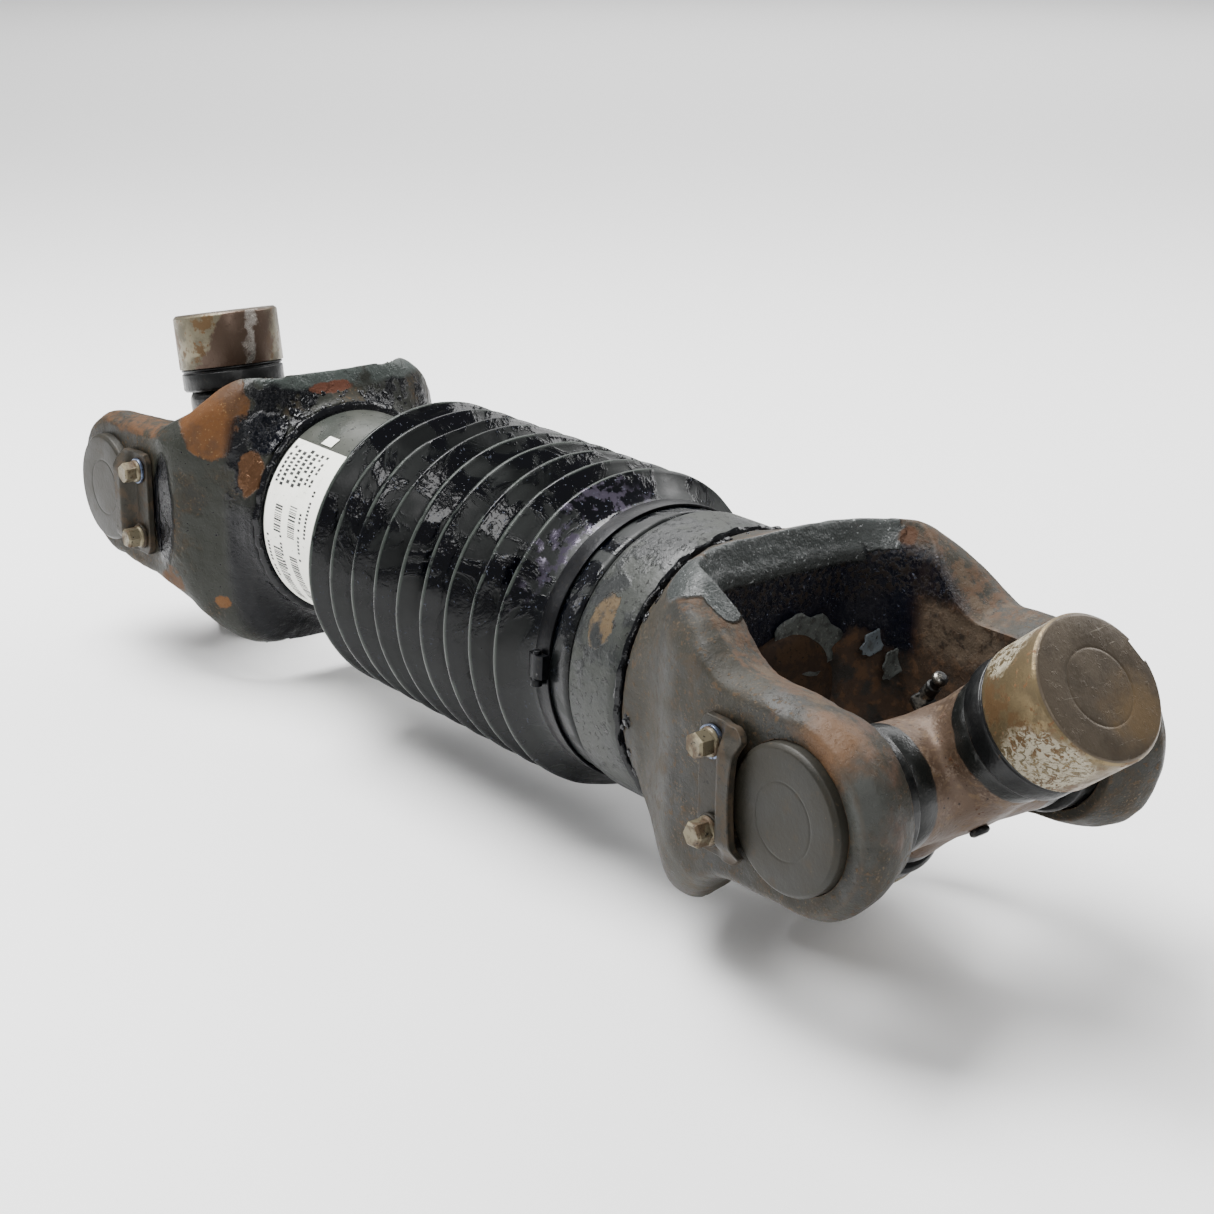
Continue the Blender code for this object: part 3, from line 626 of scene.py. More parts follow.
def cup_look(name, direction, centre, face, side, side_marks, streak=None):
    """A bearing cup: its flat face is one shade and its side another, stained in streaks and patches, and
    on some a painted highlight runs down the side.
    """
    paint = Paint(name, side, 0.34, 0.75)
    distance = paint.along(direction, centre)
    paint.layer(paint.grain(9, 0.44, 0.62), tuple(part * 0.62 for part in side), 0.5, 0.6)
    paint.stain(3, 0.58, 0.66, (0.42, 0.21, 0.08), 0.65, 0.2, height=0.05)
    paint.layer(paint.grain(14, 0.54, 0.6, 6), (0.34, 0.2, 0.085), 0.5, 0.4)
    if streak is not None:
        wander = paint.wander(7, 12)
        across = paint.sum("ADD", paint.along(streak, centre), wander)
        milled = paint.sum("ADD", across, paint.sum("MULTIPLY", paint.along((0, 0, 1), centre), -0.5))
        brown = paint.both(paint.band(milled, -50, -48), paint.band(across, 19, 13))
        paint.layer(brown, (0.26, 0.17, 0.12), 0.3, 0.5)
        # The narrow bright streak down the side is a painted highlight.
        glint = paint.both(paint.band(across, 4, 7), paint.band(across, 10, 7.5))
        paint.layer(glint, (1.6, 1.45, 1.3), 0.25, 0.9)
    for mark, radii in side_marks:
        patch = paint.spot(mark, radii, 0.25)
        flaky = paint.both(patch, paint.grain(2.2, 0.44, 0.52, 6, warp=1))
        paint.layer(flaky, CREAM, 0.55, 0, height=0.12)
    on_face = paint.band(distance, CUP_FACE - 0.9, CUP_FACE - 0.5)
    paint.layer(on_face, face, 0.4, 0.55)
    shaded = paint.both(on_face, paint.grain(16, 0.4, 0.62))
    paint.layer(shaded, tuple(part * 0.72 for part in face), 0.34, 0.5)
    stained = centre + direction * CUP_FACE * MM + Vector((0.008, 0.012, -0.01))
    stain = paint.spot(stained, (14, 12, 10), 0.5, 0.8, 6)
    paint.layer(paint.both(on_face, stain), (0.34, 0.22, 0.1), 0.5, 0.4)
    scratches = paint.grain(1.3, 0.7, 0.74, 2, (1, 0.06, 1), 0.5)
    paint.layer(paint.both(on_face, scratches), (0.55, 0.48, 0.38), 0.3, 0.8)
    grit(paint, 0.35)
    return paint.finish()


def held_cup_look(prefix, colour, centre):
    paint = Paint(prefix + "_held_cup_steel", colour, 0.52, 0.2)
    paint.stain(18, 0.42, 0.6, (0.045, 0.042, 0.03), 0.46, 0.2)
    paint.stain(8, 0.56, 0.7, (0.085, 0.062, 0.034), 0.6, 0.1)
    paint.stain(2, 0.64, 0.7, (0.15, 0.1, 0.055), 0.6, 0.1)
    grit(paint, 0.4)
    return paint.finish()


def boot_look(axis_height, front_x):
    """Black rubber with glossy tar, a painted highlight near the front, and worn ridges."""
    paint = Paint("boot_rubber", (0.01, 0.013, 0.013), 0.34, gloss=0.24)
    from_axis = paint.vector("SUBTRACT", paint.where, (0, 0, axis_height))
    radius = paint.vector("LENGTH", paint.vector("MULTIPLY", from_axis, (0, 1 / MM, 1 / MM)))
    dusty = paint.grain(34, 0.45, 0.62, 3, (0.4, 1, 1))
    paint.layer(dusty, (0.03, 0.036, 0.034), 0.5)
    up_left = paint.band(paint.along((0, -0.35, 0.94), (0, 0, axis_height)), 10, 50)
    tar = paint.both(paint.grain(22, 0.42, 0.52, 5, warp=0.8), paint.either(up_left, 0.45))
    paint.layer(tar, (0.002, 0.0028, 0.0075), 0.1)
    paint.raise_by(tar, 0.1)
    paint.raise_by(paint.both(tar, paint.noise(4, 2)), 0.2)
    # A pale lilac patch near the front is a painted highlight on the glossy tar.
    painted_highlight = paint.both(
        paint.spot((front_x - 0.186, -0.03, axis_height + 0.05), (13, 34, 26), 0.5, 0.3, 16),
        paint.grain(7, 0.5, 0.6, 3),
    )
    paint.layer(painted_highlight, (0.22, 0.19, 0.27), 0.14, 0.4)
    # Small bluish specks on the tar are painted glints.
    speckle = paint.both(tar, paint.grain(1.5, 0.66, 0.7, 2))
    paint.layer(speckle, (0.2, 0.23, 0.33), 0.16, height=0.08)
    edge = paint.band(radius, RIDGE_RADIUS - 0.7, RIDGE_RADIUS - 0.1)
    paint.stain(16, 0.4, 0.52, (0.09, 0.11, 0.094), 0.4, within=edge)
    paint.raise_by(paint.noise(1.3, 3), 0.04)
    paint.raise_by(paint.noise(11, 3), 0.15)
    return paint.finish()


def sleeve_look(place):
    paint = Paint("sleeve_paint", GREY_PAINT, 0.5)
    paint.stain(20, 0.45, 0.6, (0.055, 0.064, 0.057), 0.46)
    dark = paint.grain(3, 0.58, 0.64, 6)
    paint.layer(dark, (0.02, 0.02, 0.018), 0.3, height=0.3)
    chipped = turned(place, 62, "X") @ (Vector((-139, 0, 61)) * MM)
    chip = paint.spot(chipped, (7, 12, 11), 0.3, 0.05, 7)
    paint.layer(chip, (0.26, 0.17, 0.075), 0.6, height=-0.4)
    low = paint.grain(30, 0.55, 0.62)
    paint.layer(low, (0.035, 0.04, 0.04), 0.34, height=0.2)
    grit(paint)
    return paint.finish()


def tube_look():
    paint = Paint("tube_paint", (0.2, 0.21, 0.18), 0.3)
    paint.stain(24, 0.44, 0.62, (0.14, 0.155, 0.135), 0.26)
    paint.stain(2.4, 0.63, 0.68, TAR, 0.2, height=0.15)
    paint.raise_by(paint.noise(7, 3), 0.2)
    return paint.finish()


def tar_look():
    paint = Paint("tar", TAR, 0.13)
    paint.stain(6, 0.52, 0.66, (0.02, 0.024, 0.026), 0.26)
    # Small bluish-white specks are painted glints on the tar.
    paint.stain(1.4, 0.66, 0.7, (0.5, 0.53, 0.6), 0.2)
    paint.raise_by(paint.noise(3.2, 3), 0.4)
    return paint.finish()


def flake_look():
    paint = Paint("paint_flake", (0.26, 0.29, 0.27), 0.5)
    paint.layer(paint.grain(3, 0.5, 0.6, 6), (0.14, 0.15, 0.14), 0.4)
    paint.stain(1.4, 0.58, 0.66, (0.6, 0.62, 0.58), 0.5)
    paint.raise_by(paint.noise(1.8, 5), 0.8)
    return paint.finish()


def rubber_look(name, rough):
    paint = Paint(name, (0.012, 0.013, 0.014), rough)
    paint.stain(8, 0.5, 0.64, (0.035, 0.038, 0.036), rough + 0.15)
    paint.stain(2, 0.66, 0.72, (0.12, 0.085, 0.05), 0.7)
    paint.raise_by(paint.noise(2.2, 4), 0.2)
    return paint.finish()


def steel_look(name, colour, rough, metal, stain, amount=0.5):
    """Bare or plated steel with stains."""
    paint = Paint(name, colour, rough, metal)
    start = 0.9 - amount * 0.9
    paint.layer(paint.grain(7, start, start + 0.15), stain, rough + 0.15, metal * 0.6)
    paint.stain(1.6, 0.58, 0.66, (0.03, 0.027, 0.02), rough + 0.1)
    grit(paint, 0.5)
    return paint.finish()


def paper_look():
    paint = Paint("label_paper", (0.93, 0.93, 0.85), 0.55, tone=1)
    paint.stain(12, 0.5, 0.7, (0.84, 0.85, 0.76), 0.5)
    paint.layer(paint.grain(2, 0.64, 0.7, 6), (0.5, 0.5, 0.44), 0.5)
    paint.raise_by(paint.noise(5), 0.12)
    return paint.finish()


def ink_look():
    paint = Paint("label_ink", (0.06, 0.06, 0.058), 0.6)
    paint.stain(1.2, 0.58, 0.64, (0.45, 0.45, 0.42), 0.6)
    return paint.finish()


# Pieces of each joint


def superellipse(distance, width, height, power, flat, count=120):
    """A rounded section, widened by flat and then cut straight at its width."""
    points = []
    for step in range(count):
        angle = 2 * math.pi * (step + 0.5) / count
        cosine = math.cos(angle)
        sine = math.sin(angle)
        across = width * flat * math.copysign(abs(cosine) ** (2 / power), cosine)
        up = height * math.copysign(abs(sine) ** (2 / power), sine)
        points.append([-distance, min(max(across, -width), width), up])
    return points


def yoke_section(distance, base):
    """The outer section of a yoke's body at a distance from its cross towards the shaft."""
    if distance < 0:
        return superellipse(distance, EAR_OUTER - 2, 0.9 * EAR_INNER_RING, 8, 1)
    waist = EAR_RING + (WAIST_HEIGHT - EAR_RING) * smooth_step(distance, 0, 20)
    rise = smooth_step(distance, base["shoulder_from"], base["shoulder_to"])
    height = waist + (base["shoulder"] - waist) * rise
    drop = base["shoulder"] - base["end_radius"]
    height -= drop * smooth_step(distance, base["height_from"], base["end"])
    drawn_in = smooth_step(distance, base["width_from"], base["width_to"])
    width = EAR_OUTER - (EAR_OUTER - base["end_radius"]) * drawn_in
    softened = smooth_step(distance, 46, base["width_from"] + 6)
    power = 8 + (base["boxiness"] - 8) * softened
    power += (2 - power) * smooth_step(distance, base["width_to"] - 16, base["end"])
    section = superellipse(distance, width, height, power, 1.04 - 0.04 * softened)
    ear = 1 - smooth_step(distance, 45, 75)
    for point in section:
        inwards = min(max((EAR_CREST - abs(point[1])) / (EAR_CREST - EAR_INNER), 0), 1)
        point[2] *= 1 - ear * inwards * (1 - EAR_INNER_RING / EAR_RING)
    return section


def throat_outline(height, wider):
    """The gap between the ears at a height, wider all round by an amount."""
    corner = THROAT_CORNER + wider
    centre = (-THROAT_DEPTH + THROAT_CORNER, EAR_INNER - THROAT_CORNER)
    points = [(60, -EAR_INNER - wider, height), (60, EAR_INNER + wider, height)]
    for side in (1, -1):
        for step in range(13):
            turn = 90 + 90 * step / 12 if side > 0 else 180 + 90 * step / 12
            angle = math.radians(turn)
            along = centre[0] + corner * math.cos(angle)
            points.append((along, side * centre[1] + corner * math.sin(angle), height))
    return points


def build_yoke(prefix, place, look, body):
    """A forged yoke with softened edges, its throat and its bores."""
    end = 0 if prefix == "front" else 1
    base = {name: pair[end] for name, pair in BASE_SIZES.items()}
    distances = [-10, -4, 0, *range(3, int(base["end"]), 3), base["end"]]
    shells = [loft([yoke_section(distance, base) for distance in distances], place)]
    ring = [
        (EAR_INNER - 4, 0),
        (EAR_INNER - 4, EAR_INNER_RING - 2),
        (EAR_INNER, EAR_INNER_RING),
        (EAR_CREST - 3, EAR_RING - 1),
        (EAR_CREST + 4, EAR_RING),
        (EAR_OUTER, EAR_RING - 4),
        (EAR_OUTER, 0),
    ]
    for side in (1, -1):
        shells.append(lathe(ring, turned(place, 90 * side, "Z")))
    if prefix == "rear":
        shells.append(lathe([(-96, 0), (-96, 55), (-106, 55), (-106, 0)], place))
    yoke = mesh_object(prefix + "_yoke_forging", join(shells), look)
    remesh(yoke, 1.3, 0)
    shoulder = base["shoulder"]
    rim = base["rim_width"]
    levels = (
        (-shoulder - 12, 1.8 * rim),
        (0.3 * rim - shoulder, rim),
        (base["rim_depth"] - shoulder, 0),
    )
    outlines = [throat_outline(height, wider) for height, wider in levels]
    outlines += [throat_outline(-height, wider) for height, wider in reversed(levels)]
    carve(yoke, [loft(outlines, place)])
    remesh(yoke, 1, 4)
    roughen(yoke, 26, 0.7, 3)
    roughen(yoke, 7, 0.28, 9)
    bore = [(40, 0), (40, CUP_RADIUS + 0.3), (90, CUP_RADIUS + 0.3), (90, 0)]
    carve(yoke, [lathe(bore, turned(place, 90 * side, "Z")) for side in (1, -1)])
    shade(yoke, 50)
    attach(yoke, body)
    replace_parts(yoke, prefix + "_yoke")
    return yoke


def build_yoke_plug(prefix, place, look, body):
    """The round boss in the middle of the throat's floor."""
    profile = rounded([(-94, 0), (-94, 26), (-90, 25), (-88.4, 21), (-88, 0)], 1.5)
    plug = mesh_object(prefix + "_throat_boss", lathe(profile, place), look, body)
    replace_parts(plug, prefix + "_yoke_plug")


def build_cross(prefix, spin, look, body):
    """Four arms that flow into a hub."""
    neck = SEAL_INNER_END - 0.3
    arm = [(0, 0), (0, 23), (24, 23.4), (SEAL_INNER_END - 3, 24.4)]
    arm += [(neck, 23.4), (neck, 20), (77, 17), (77, 0)]
    shells = [lathe(arm, turned(spin, 90 * turn, "Z"), 64) for turn in range(4)]
    hub = [(-23.5, 0), (-23.5, 12), (-17, 29), (17, 29), (23.5, 12), (23.5, 0)]
    shells.append(lathe(rounded(hub, 4), turned(spin, 90, "Y"), 64))
    cross = mesh_object(prefix + "_cross_forging", join(shells), look)
    remesh(cross, 2, 9)
    remesh(cross, 0.9, 6)
    roughen(cross, 12, 0.4, 5)
    shade(cross, 50)
    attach(cross, body)
    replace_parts(cross, prefix + "_cross")


def build_cup(name, out, look, body, notch=None):
    """A bearing cup with a shallow ring turned in its face, and sometimes a notch in its rim."""
    face = CUP_FACE
    profile = [(face, 0), (face, 13.6), (face - 0.2, 14.2), (face, 14.8), (face, CUP_RADIUS - 1.5)]
    profile += [(face - 1.5, CUP_RADIUS), (CUP_MOUTH, CUP_RADIUS), (CUP_MOUTH, 21.7)]
    profile += [(79, 21.7), (79, 0)]
    cup = mesh_object(name + "_cup_shell", lathe(rounded(profile, 0.5, 2), out, 128), look, None, 25)
    if notch is not None:
        corners = [(24.6, -4.5), (30, -4.5), (30, 4.5), (24.6, 4.5)]
        block = [[(along, outwards, aside) for outwards, aside in corners] for along in (79.4, 90)]
        carve(cup, [loft(block, turned(out, notch, "X"))])
        shade(cup, 25)
    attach(cup, body)
    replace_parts(cup, name + "_cup")


def build_seal(name, out, look, body):
    """A wide rubber seal with a lip against its cup."""
    start = SEAL_INNER_END
    end = CUP_MOUTH - 0.3
    profile = [(start, 20.8), (start, 25.6), (start + 1.2, SEAL_RADIUS), (start + 9.4, SEAL_RADIUS)]
    profile += [(start + 9.8, 26), (start + 10.4, 26), (start + 10.8, SEAL_RADIUS)]
    profile += [(end, SEAL_RADIUS), (end, 20.8)]
    seal = mesh_object(name + "_seal_ring", lathe(rounded(profile, 0.4, 2), out), look, body)
    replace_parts(seal, name + "_seal")


def build_tab(name, side, place, look, body):
    """A lock plate that steps up and arches over the cup's rim."""
    columns = 28
    rows = 36
    rings = []
    for row in range(rows + 1):
        up = TAB_HALF_HEIGHT * (2 * row / rows - 1)
        near_end = abs(up) / TAB_HALF_HEIGHT
        corner = max(near_end - 0.85, 0) / 0.15
        tip = -23 + 3.4 * near_end**2 - 6 * corner
        back = -46.5 + 3 * corner
        arch = 1.5 + 5 * (1 - smooth_step(abs(up), 16, 25))
        lower = []
        for column in range(columns + 1):
            along = back + (tip - back) * column / columns
            lift = arch * smooth_step(along, -35, -28.8)
            lower.append((along, EAR_OUTER + 0.3 + lift))
        upper = [(along, out + TAB_THICKNESS) for along, out in reversed(lower)]
        rings.append([(along, side * out, up) for along, out in lower + upper])
    tab = mesh_object(name + "_strap", loft(rings, place), look, body, 40)
    bevel = tab.modifiers.new("edge", "BEVEL")
    bevel.width = 0.7 * MM
    bevel.segments = 2
    bevel.limit_method = "ANGLE"
    bevel.angle_limit = math.radians(50)
    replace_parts(tab, name)


def build_bolt(name, out, look, washer_look, body):
    """A hexagon head bolt on a flange, over a spring washer. The place's X axis is the bolt's."""
    seat = EAR_OUTER + TAB_THICKNESS + 0.6
    foot = seat + 1.5
    top = seat + 9.2
    washer = rounded([(seat, 3), (seat, 6.4), (foot, 6.4), (foot, 3)], 0.3)
    mesh_object(name + "_washer", lathe(washer, out, 32), washer_look, body)
    stem = [(61, 0), (61, 3.8), (foot, 3.8), (foot, 5.7)]
    stem += [(foot + 1.2, 5.4), (foot + 1.8, 4.6), (foot + 1.8, 0)]
    flange = lathe(rounded(stem, 0.3), out, 32)
    hexagon = [(foot + 0.9, 0), (foot + 0.9, 5.1), (top - 1, 5.1), (top, 4.2), (top - 0.3, 0)]
    head = mesh_object(name + "_head", join([flange, lathe(hexagon, out, 6)]), look, body, 25)
    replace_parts(head, name)


def build_nipple(prefix, spin, look, body):
    """An elbow grease nipple on the hub's upper face and a short plug on the lower one."""
    up = turned(spin, -90, "Y")
    base = [(18, 0), (18, 3.2), (23.8, 3.2), (23.8, 4.6), (29, 4.6), (29.8, 3.6), (29.8, 0)]
    stem = [(0, 0), (0, 3), (9, 3), (9.4, 2.2), (11.6, 2.2)]
    stem += [(12.6, 3.1), (14.2, 3), (15.2, 1.8), (15.2, 0)]
    elbow = turned(up @ Matrix.Translation((27 * MM, 0, 0)), 76, "Y")
    shape = join([lathe(rounded(base, 0.5), up, 6), lathe(rounded(stem, 0.4), elbow, 32)])
    nipple = mesh_object(prefix + "_grease_nipple", shape, look, body)
    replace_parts(nipple, prefix + "_grease_fitting")
    plug = [(18, 0), (18, 3.2), (23.8, 3.2), (24, 3.9), (25.4, 3.9), (26.2, 2.8), (26.2, 0)]
    shape = lathe(rounded(plug, 0.4), turned(spin, 90, "Y"), 24)
    cap = mesh_object(prefix + "_hub_plug", shape, look, body)
    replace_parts(cap, prefix + "_cross_plug")


def build_joint(prefix, place, looks):
    """A yoke with its cross, cups, seals, lock tabs and bolts."""
    spin = turned(place, -FREE_ANGLES[prefix], "Y")
    shaft = prefix + "_shaft"
    cross = prefix + "_cross_body"
    yoke = build_yoke(prefix, place, looks[prefix + "_yoke"], shaft)
    build_yoke_plug(prefix, place, looks["plug"], shaft)
    build_cross(prefix, spin, looks[prefix + "_cross"], cross)
    build_nipple(prefix, spin, looks["nipple"], cross)
    cups = (("left", place, 90), ("right", place, -90), ("upper", spin, 0), ("lower", spin, 180))
    for name, frame, turn in cups:
        out = turned(frame, turn, "Z")
        held = name in ("left", "right")
        body = shaft if held else f"{prefix}_{name}_cup_body"
        look = looks.get(f"{prefix}_{name}_cup") or looks["held_cup_" + prefix]
        notch = NOTCH_TURN if (prefix, name) == ("front", "upper") else None
        build_cup(f"{prefix}_{name}", out, look, body, notch)
        build_seal(f"{prefix}_{name}", out, looks["seal"], body)
    for name, side in (("left", 1), ("right", -1)):
        build_tab(f"{prefix}_{name}_lock_tab", side, place, looks["tab"], shaft)
        for level, height in (("upper", BOLT_HALF_PITCH), ("lower", -BOLT_HALF_PITCH)):
            out = place @ Matrix.Translation((-BOLT_ALONG * MM, 0, height * MM))
            out = turned(turned(out, 90 * side, "Z"), math.degrees(0.3 + height), "X")
            washer = looks["blue_steel"] if level == "upper" else looks["tab"]
            build_bolt(f"{prefix}_{name}_bolt_{level}", out, looks["bolt"], washer, shaft)
    return yoke


# Pieces along the shaft


def uneven(amount, size, seed=0):
    """A change for lathe that makes a turned shape slightly out of round."""
    turns = 60 / size

    def change(along, radius, angle):
        point = Vector((along / size, turns * math.cos(angle) + seed, turns * math.sin(angle)))
        return along, radius + amount * noise.noise(point)

    return change


def build_sleeve(axis, look):
    """The collar behind the front yoke, and the bore that slides over the splines."""
    profile = [(118.3, 46), (118.3, 58.5), (123.5, 60), (126, 60.6), (151, 60.6)]
    profile += [(153.6, 58.8), (154, 56), (182, 56), (190, 46), (262, 46)]
    profile += [(264, 44), (264, 31.6), (160, 31.6), (150, 46)]
    shape = shaft_lathe(rounded(profile, 1.4), axis, 160, uneven(0.35, 14))
    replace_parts(mesh_object("sleeve_barrel", shape, look, "front_shaft"), "slip_sleeve")


def build_bead(name, start, inner, crown, axis, look, body):
    """An uneven weld bead under tar."""
    profile = [(start, inner), (start, crown - 2.4), (start + 0.9, crown - 0.5), (start + 1.7, crown)]
    profile += [(start + 2.6, crown - 0.5), (start + 3.4, crown - 2.4), (start + 3.4, inner)]
    shape = shaft_lathe(profile, axis, 260, uneven(1.1, 5, 4))
    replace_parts(mesh_object(name + "_run", shape, look, body), name)


def build_tube(axis, look):
    start, end = TUBE_ENDS
    wall = [(start, TUBE_BORE), (start, TUBE_RADIUS), (end, TUBE_RADIUS), (end, TUBE_BORE)]
    shape = shaft_lathe(rounded(wall, 0.4), axis)
    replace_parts(mesh_object("tube_wall", shape, look, "rear_shaft"), "rear_tube")


def boot_outline():
    """The boot's outside from its front cuff to its rear cuff, with a thin lip along each ridge."""
    cuff = 58.6
    rear_cuff = TUBE_RADIUS + 0.3 + BOOT_WALL
    points = [(BOOT_START, cuff - 0.4), (BOOT_START + 1, cuff + 0.6), (BOOT_START + 3, cuff + 0.8)]
    points += [(163, cuff), (FRONT_CUFF_END - 2, cuff), (FRONT_CUFF_END + 1, cuff + 0.8)]
    rise = RIDGE_RADIUS - VALLEY_RADIUS
    slope = [(5.5, 0.42), (3, 0.72), (1.4, 0.88), (0.8, 0.99), (0, 1)]
    flank = [(-along, share) for along, share in slope] + slope[-2::-1]
    for ridge in range(RIDGE_COUNT):
        peak = FIRST_RIDGE + ridge * RIDGE_PITCH
        for along, share in flank:
            if ridge == RIDGE_COUNT - 1 and along > 3.5:
                continue
            points.append((peak + along, VALLEY_RADIUS + rise * share))
        if ridge < RIDGE_COUNT - 1:
            middle = peak + RIDGE_PITCH / 2
            points += [(middle - 1.2, VALLEY_RADIUS + 0.4), (middle + 1.2, VALLEY_RADIUS + 0.4)]
    points += [(346.5, 57), (REAR_CUFF_START, rear_cuff + 0.6)]
    points += [(BOOT_END - 1, rear_cuff), (BOOT_END, rear_cuff - 0.5)]
    return points


def dented(along, radius, angle):
    """The boot sags and buckles slightly, most at the top of its middle ridges."""
    distance = -along
    waves = noise.noise(Vector((distance / 30, 2 * math.cos(angle), 2 * math.sin(angle))))
    ripple = noise.noise(Vector((distance / 9, 6 * math.cos(angle), 6 * math.sin(angle))))
    inside = smooth_step(distance, FRONT_CUFF_END, FIRST_RIDGE)
    inside *= 1 - smooth_step(distance, 340, REAR_CUFF_START)
    share = smooth_step(radius, VALLEY_RADIUS, RIDGE_RADIUS)
    radius += inside * (0.35 * waves + 0.25 * ripple)
    top = math.exp(-(((angle - 1.75) / 0.25) ** 2)) * math.exp(-(((distance - 305) / 16) ** 2))
    radius -= 2.2 * top * share
    return along + inside * (1.5 * waves + 0.5 * ripple) * share, radius


def build_boot(axis, look):
    outer = boot_outline()
    inner = [(along, radius - BOOT_WALL) for along, radius in reversed(outer)]
    shape = shaft_lathe(outer + inner, axis, 240, dented)
    boot = mesh_object("bellows", shape, look, None, 60)
    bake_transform(boot)
    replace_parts(boot, "boot")


def build_clamp(name, middle, inner, turn, axis, looks, body):
    """A band clamp with its worm housing and screw."""
    start = middle - 4.5
    end = middle + 4.5
    outer = inner + 1.1
    band = [(start, inner), (start, outer), (end, outer), (end, inner)]
    shapes = [shaft_lathe(rounded(band, 0.3), axis)]
    spot = turned(axis @ Matrix.Translation((-middle * MM, 0, 0)), turn, "X")
    spot = spot @ Matrix.Translation((0, 0, (inner + 3.2) * MM))
    corners = [(-4.6, -2.4), (4.6, -2.4), (4.6, 0.6), (2.4, 1.8), (-2.4, 1.8), (-4.6, 0.6)]
    shapes.append(loft([[(along, across, up) for along, up in corners] for across in (-5, 5)], spot))
    screw = [(-8.5, 0), (-8.5, 2.5), (-5.5, 2.5), (-5.5, 1.8), (6.5, 1.8), (6.5, 0)]
    shapes.append(lathe(rounded(screw, 0.3), turned(spot, 90, "Z"), 24))
    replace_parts(mesh_object(name + "_band", join(shapes), looks["clamp"], body), name)


def curved_patch(axis, radius, ends, angles, thickness, steps=48):
    """A thin rectangle wrapped on a cylinder. Its angles are in degrees from straight up towards -Y."""
    turns = [math.radians(angles[0] + (angles[1] - angles[0]) * step / steps) for step in range(steps + 1)]
    outline = [(radius + thickness, turn) for turn in turns]
    outline += [(radius, turn) for turn in reversed(turns)]
    around = [(-reach * math.sin(turn), reach * math.cos(turn)) for reach, turn in outline]
    rings = [[(-along, across, up) for across, up in around] for along in ends]
    return loft(rings, axis)


def build_label(axis, looks):
    """A plain sticker with rows of blank dashes and bars in place of print."""
    paper = TUBE_RADIUS + 0.3
    shape = curved_patch(axis, paper, LABEL_ENDS, LABEL_ANGLES, 0.25)
    sheet = mesh_object("sticker", shape, looks["paper"], "rear_shaft")
    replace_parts(sheet, "label")
    shape = curved_patch(axis, paper, (386, 395), (27.5, 34), 0.25, 6)
    mesh_object("sticker_tab", shape, looks["paper"], "rear_shaft")
    print_radius = paper + 0.26
    marks = []

    def mark(start, end, low, high):
        marks.append(curved_patch(axis, print_radius, (start, end), (low, high), 0.04, 3))

    heights = (2.2, 2.8, 2.8, 2.8, 2.8, 2.2, 2)
    rows = (411, 406.5, 401.5, 396.5, 391.5, 386.5, 382)
    for row, (along, height) in enumerate(zip(rows, heights)):
        angle = 39 + CHANCE.random() * 3
        while angle < 64 - row:
            length = 1.3 + CHANCE.random() * 0.9
            mark(along - height, along, angle, angle + length)
            angle += length + (0.9 if CHANCE.random() < 0.85 else 3)
    blocks = (
        (404, 6.5, 74, 88),
        (391, 6.5, 72, 90),
        (405.5, 7, 98, 134),
        (391, 7, 100, 138),
    )
    for along, height, low, high in blocks:
        angle = low
        while angle < high:
            width = CHANCE.choice((0.4, 0.6, 1))
            mark(along - height, along, angle, angle + width)
            angle += width + CHANCE.choice((0.5, 0.7, 1))
    for along in (411.8, 407.6, 396.4, 380.4):
        mark(along - 0.25, along, 70, 146)
    for along, low in ((411, 92), (398.5, 90), (381.5, 74), (376, 60)):
        angle = low
        while angle < low + 26:
            mark(along - 1.9, along, angle, angle + 1.3)
            angle += 2.1 if CHANCE.random() < 0.8 else 4.2
    mesh_object("sticker_print", join(marks), looks["ink"], "rear_shaft")


def lump(place, size, flat, seed):
    """A small uneven blob. The place's Z axis points out of the surface."""
    ball = bmesh.new()
    bmesh.ops.create_icosphere(ball, subdivisions=3, radius=1)
    points = []
    for vertex in ball.verts:
        stretch = 1 + 0.55 * noise.noise(vertex.co * 1.3 + Vector((seed, seed, 0)))
        point = vertex.co * stretch
        points.append(place @ (Vector((point.x * size, point.y * size, point.z * size * flat)) * MM))
    faces = [tuple(vertex.index for vertex in face.verts) for face in ball.faces]
    ball.free()
    return points, faces


def on_surface(target, origin, direction):
    """A place on the object's surface where a ray meets it, with Z along the surface's normal."""
    found, spot, normal, _ = target.ray_cast(origin, direction)
    if not found:
        return None
    turn = normal.to_track_quat("Z", "Y").to_matrix().to_4x4()
    return turned(Matrix.Translation(spot) @ turn, math.degrees(CHANCE.random() * 6.28), "Z")


def scatter(name, target, axis, count, ends, angles, sizes, flat, look, body):
    """Blobs stuck on an object, aimed at the shaft's axis, between two distances and two angles."""
    shapes = []
    for _ in range(count):
        along = CHANCE.uniform(*ends)
        turn = math.radians(CHANCE.uniform(*angles))
        outward = Vector((0, -math.sin(turn), math.cos(turn)))
        origin = axis @ (Vector((-along, 0, 0)) * MM) + outward * 0.12
        place = on_surface(target, origin, -outward)
        if place:
            size = sizes[0] + (sizes[1] - sizes[0]) * CHANCE.random() ** 2.5
            shapes.append(lump(place, size, flat, CHANCE.random() * 90))
    if shapes:
        mesh_object(name, join(shapes), look, body, 80)


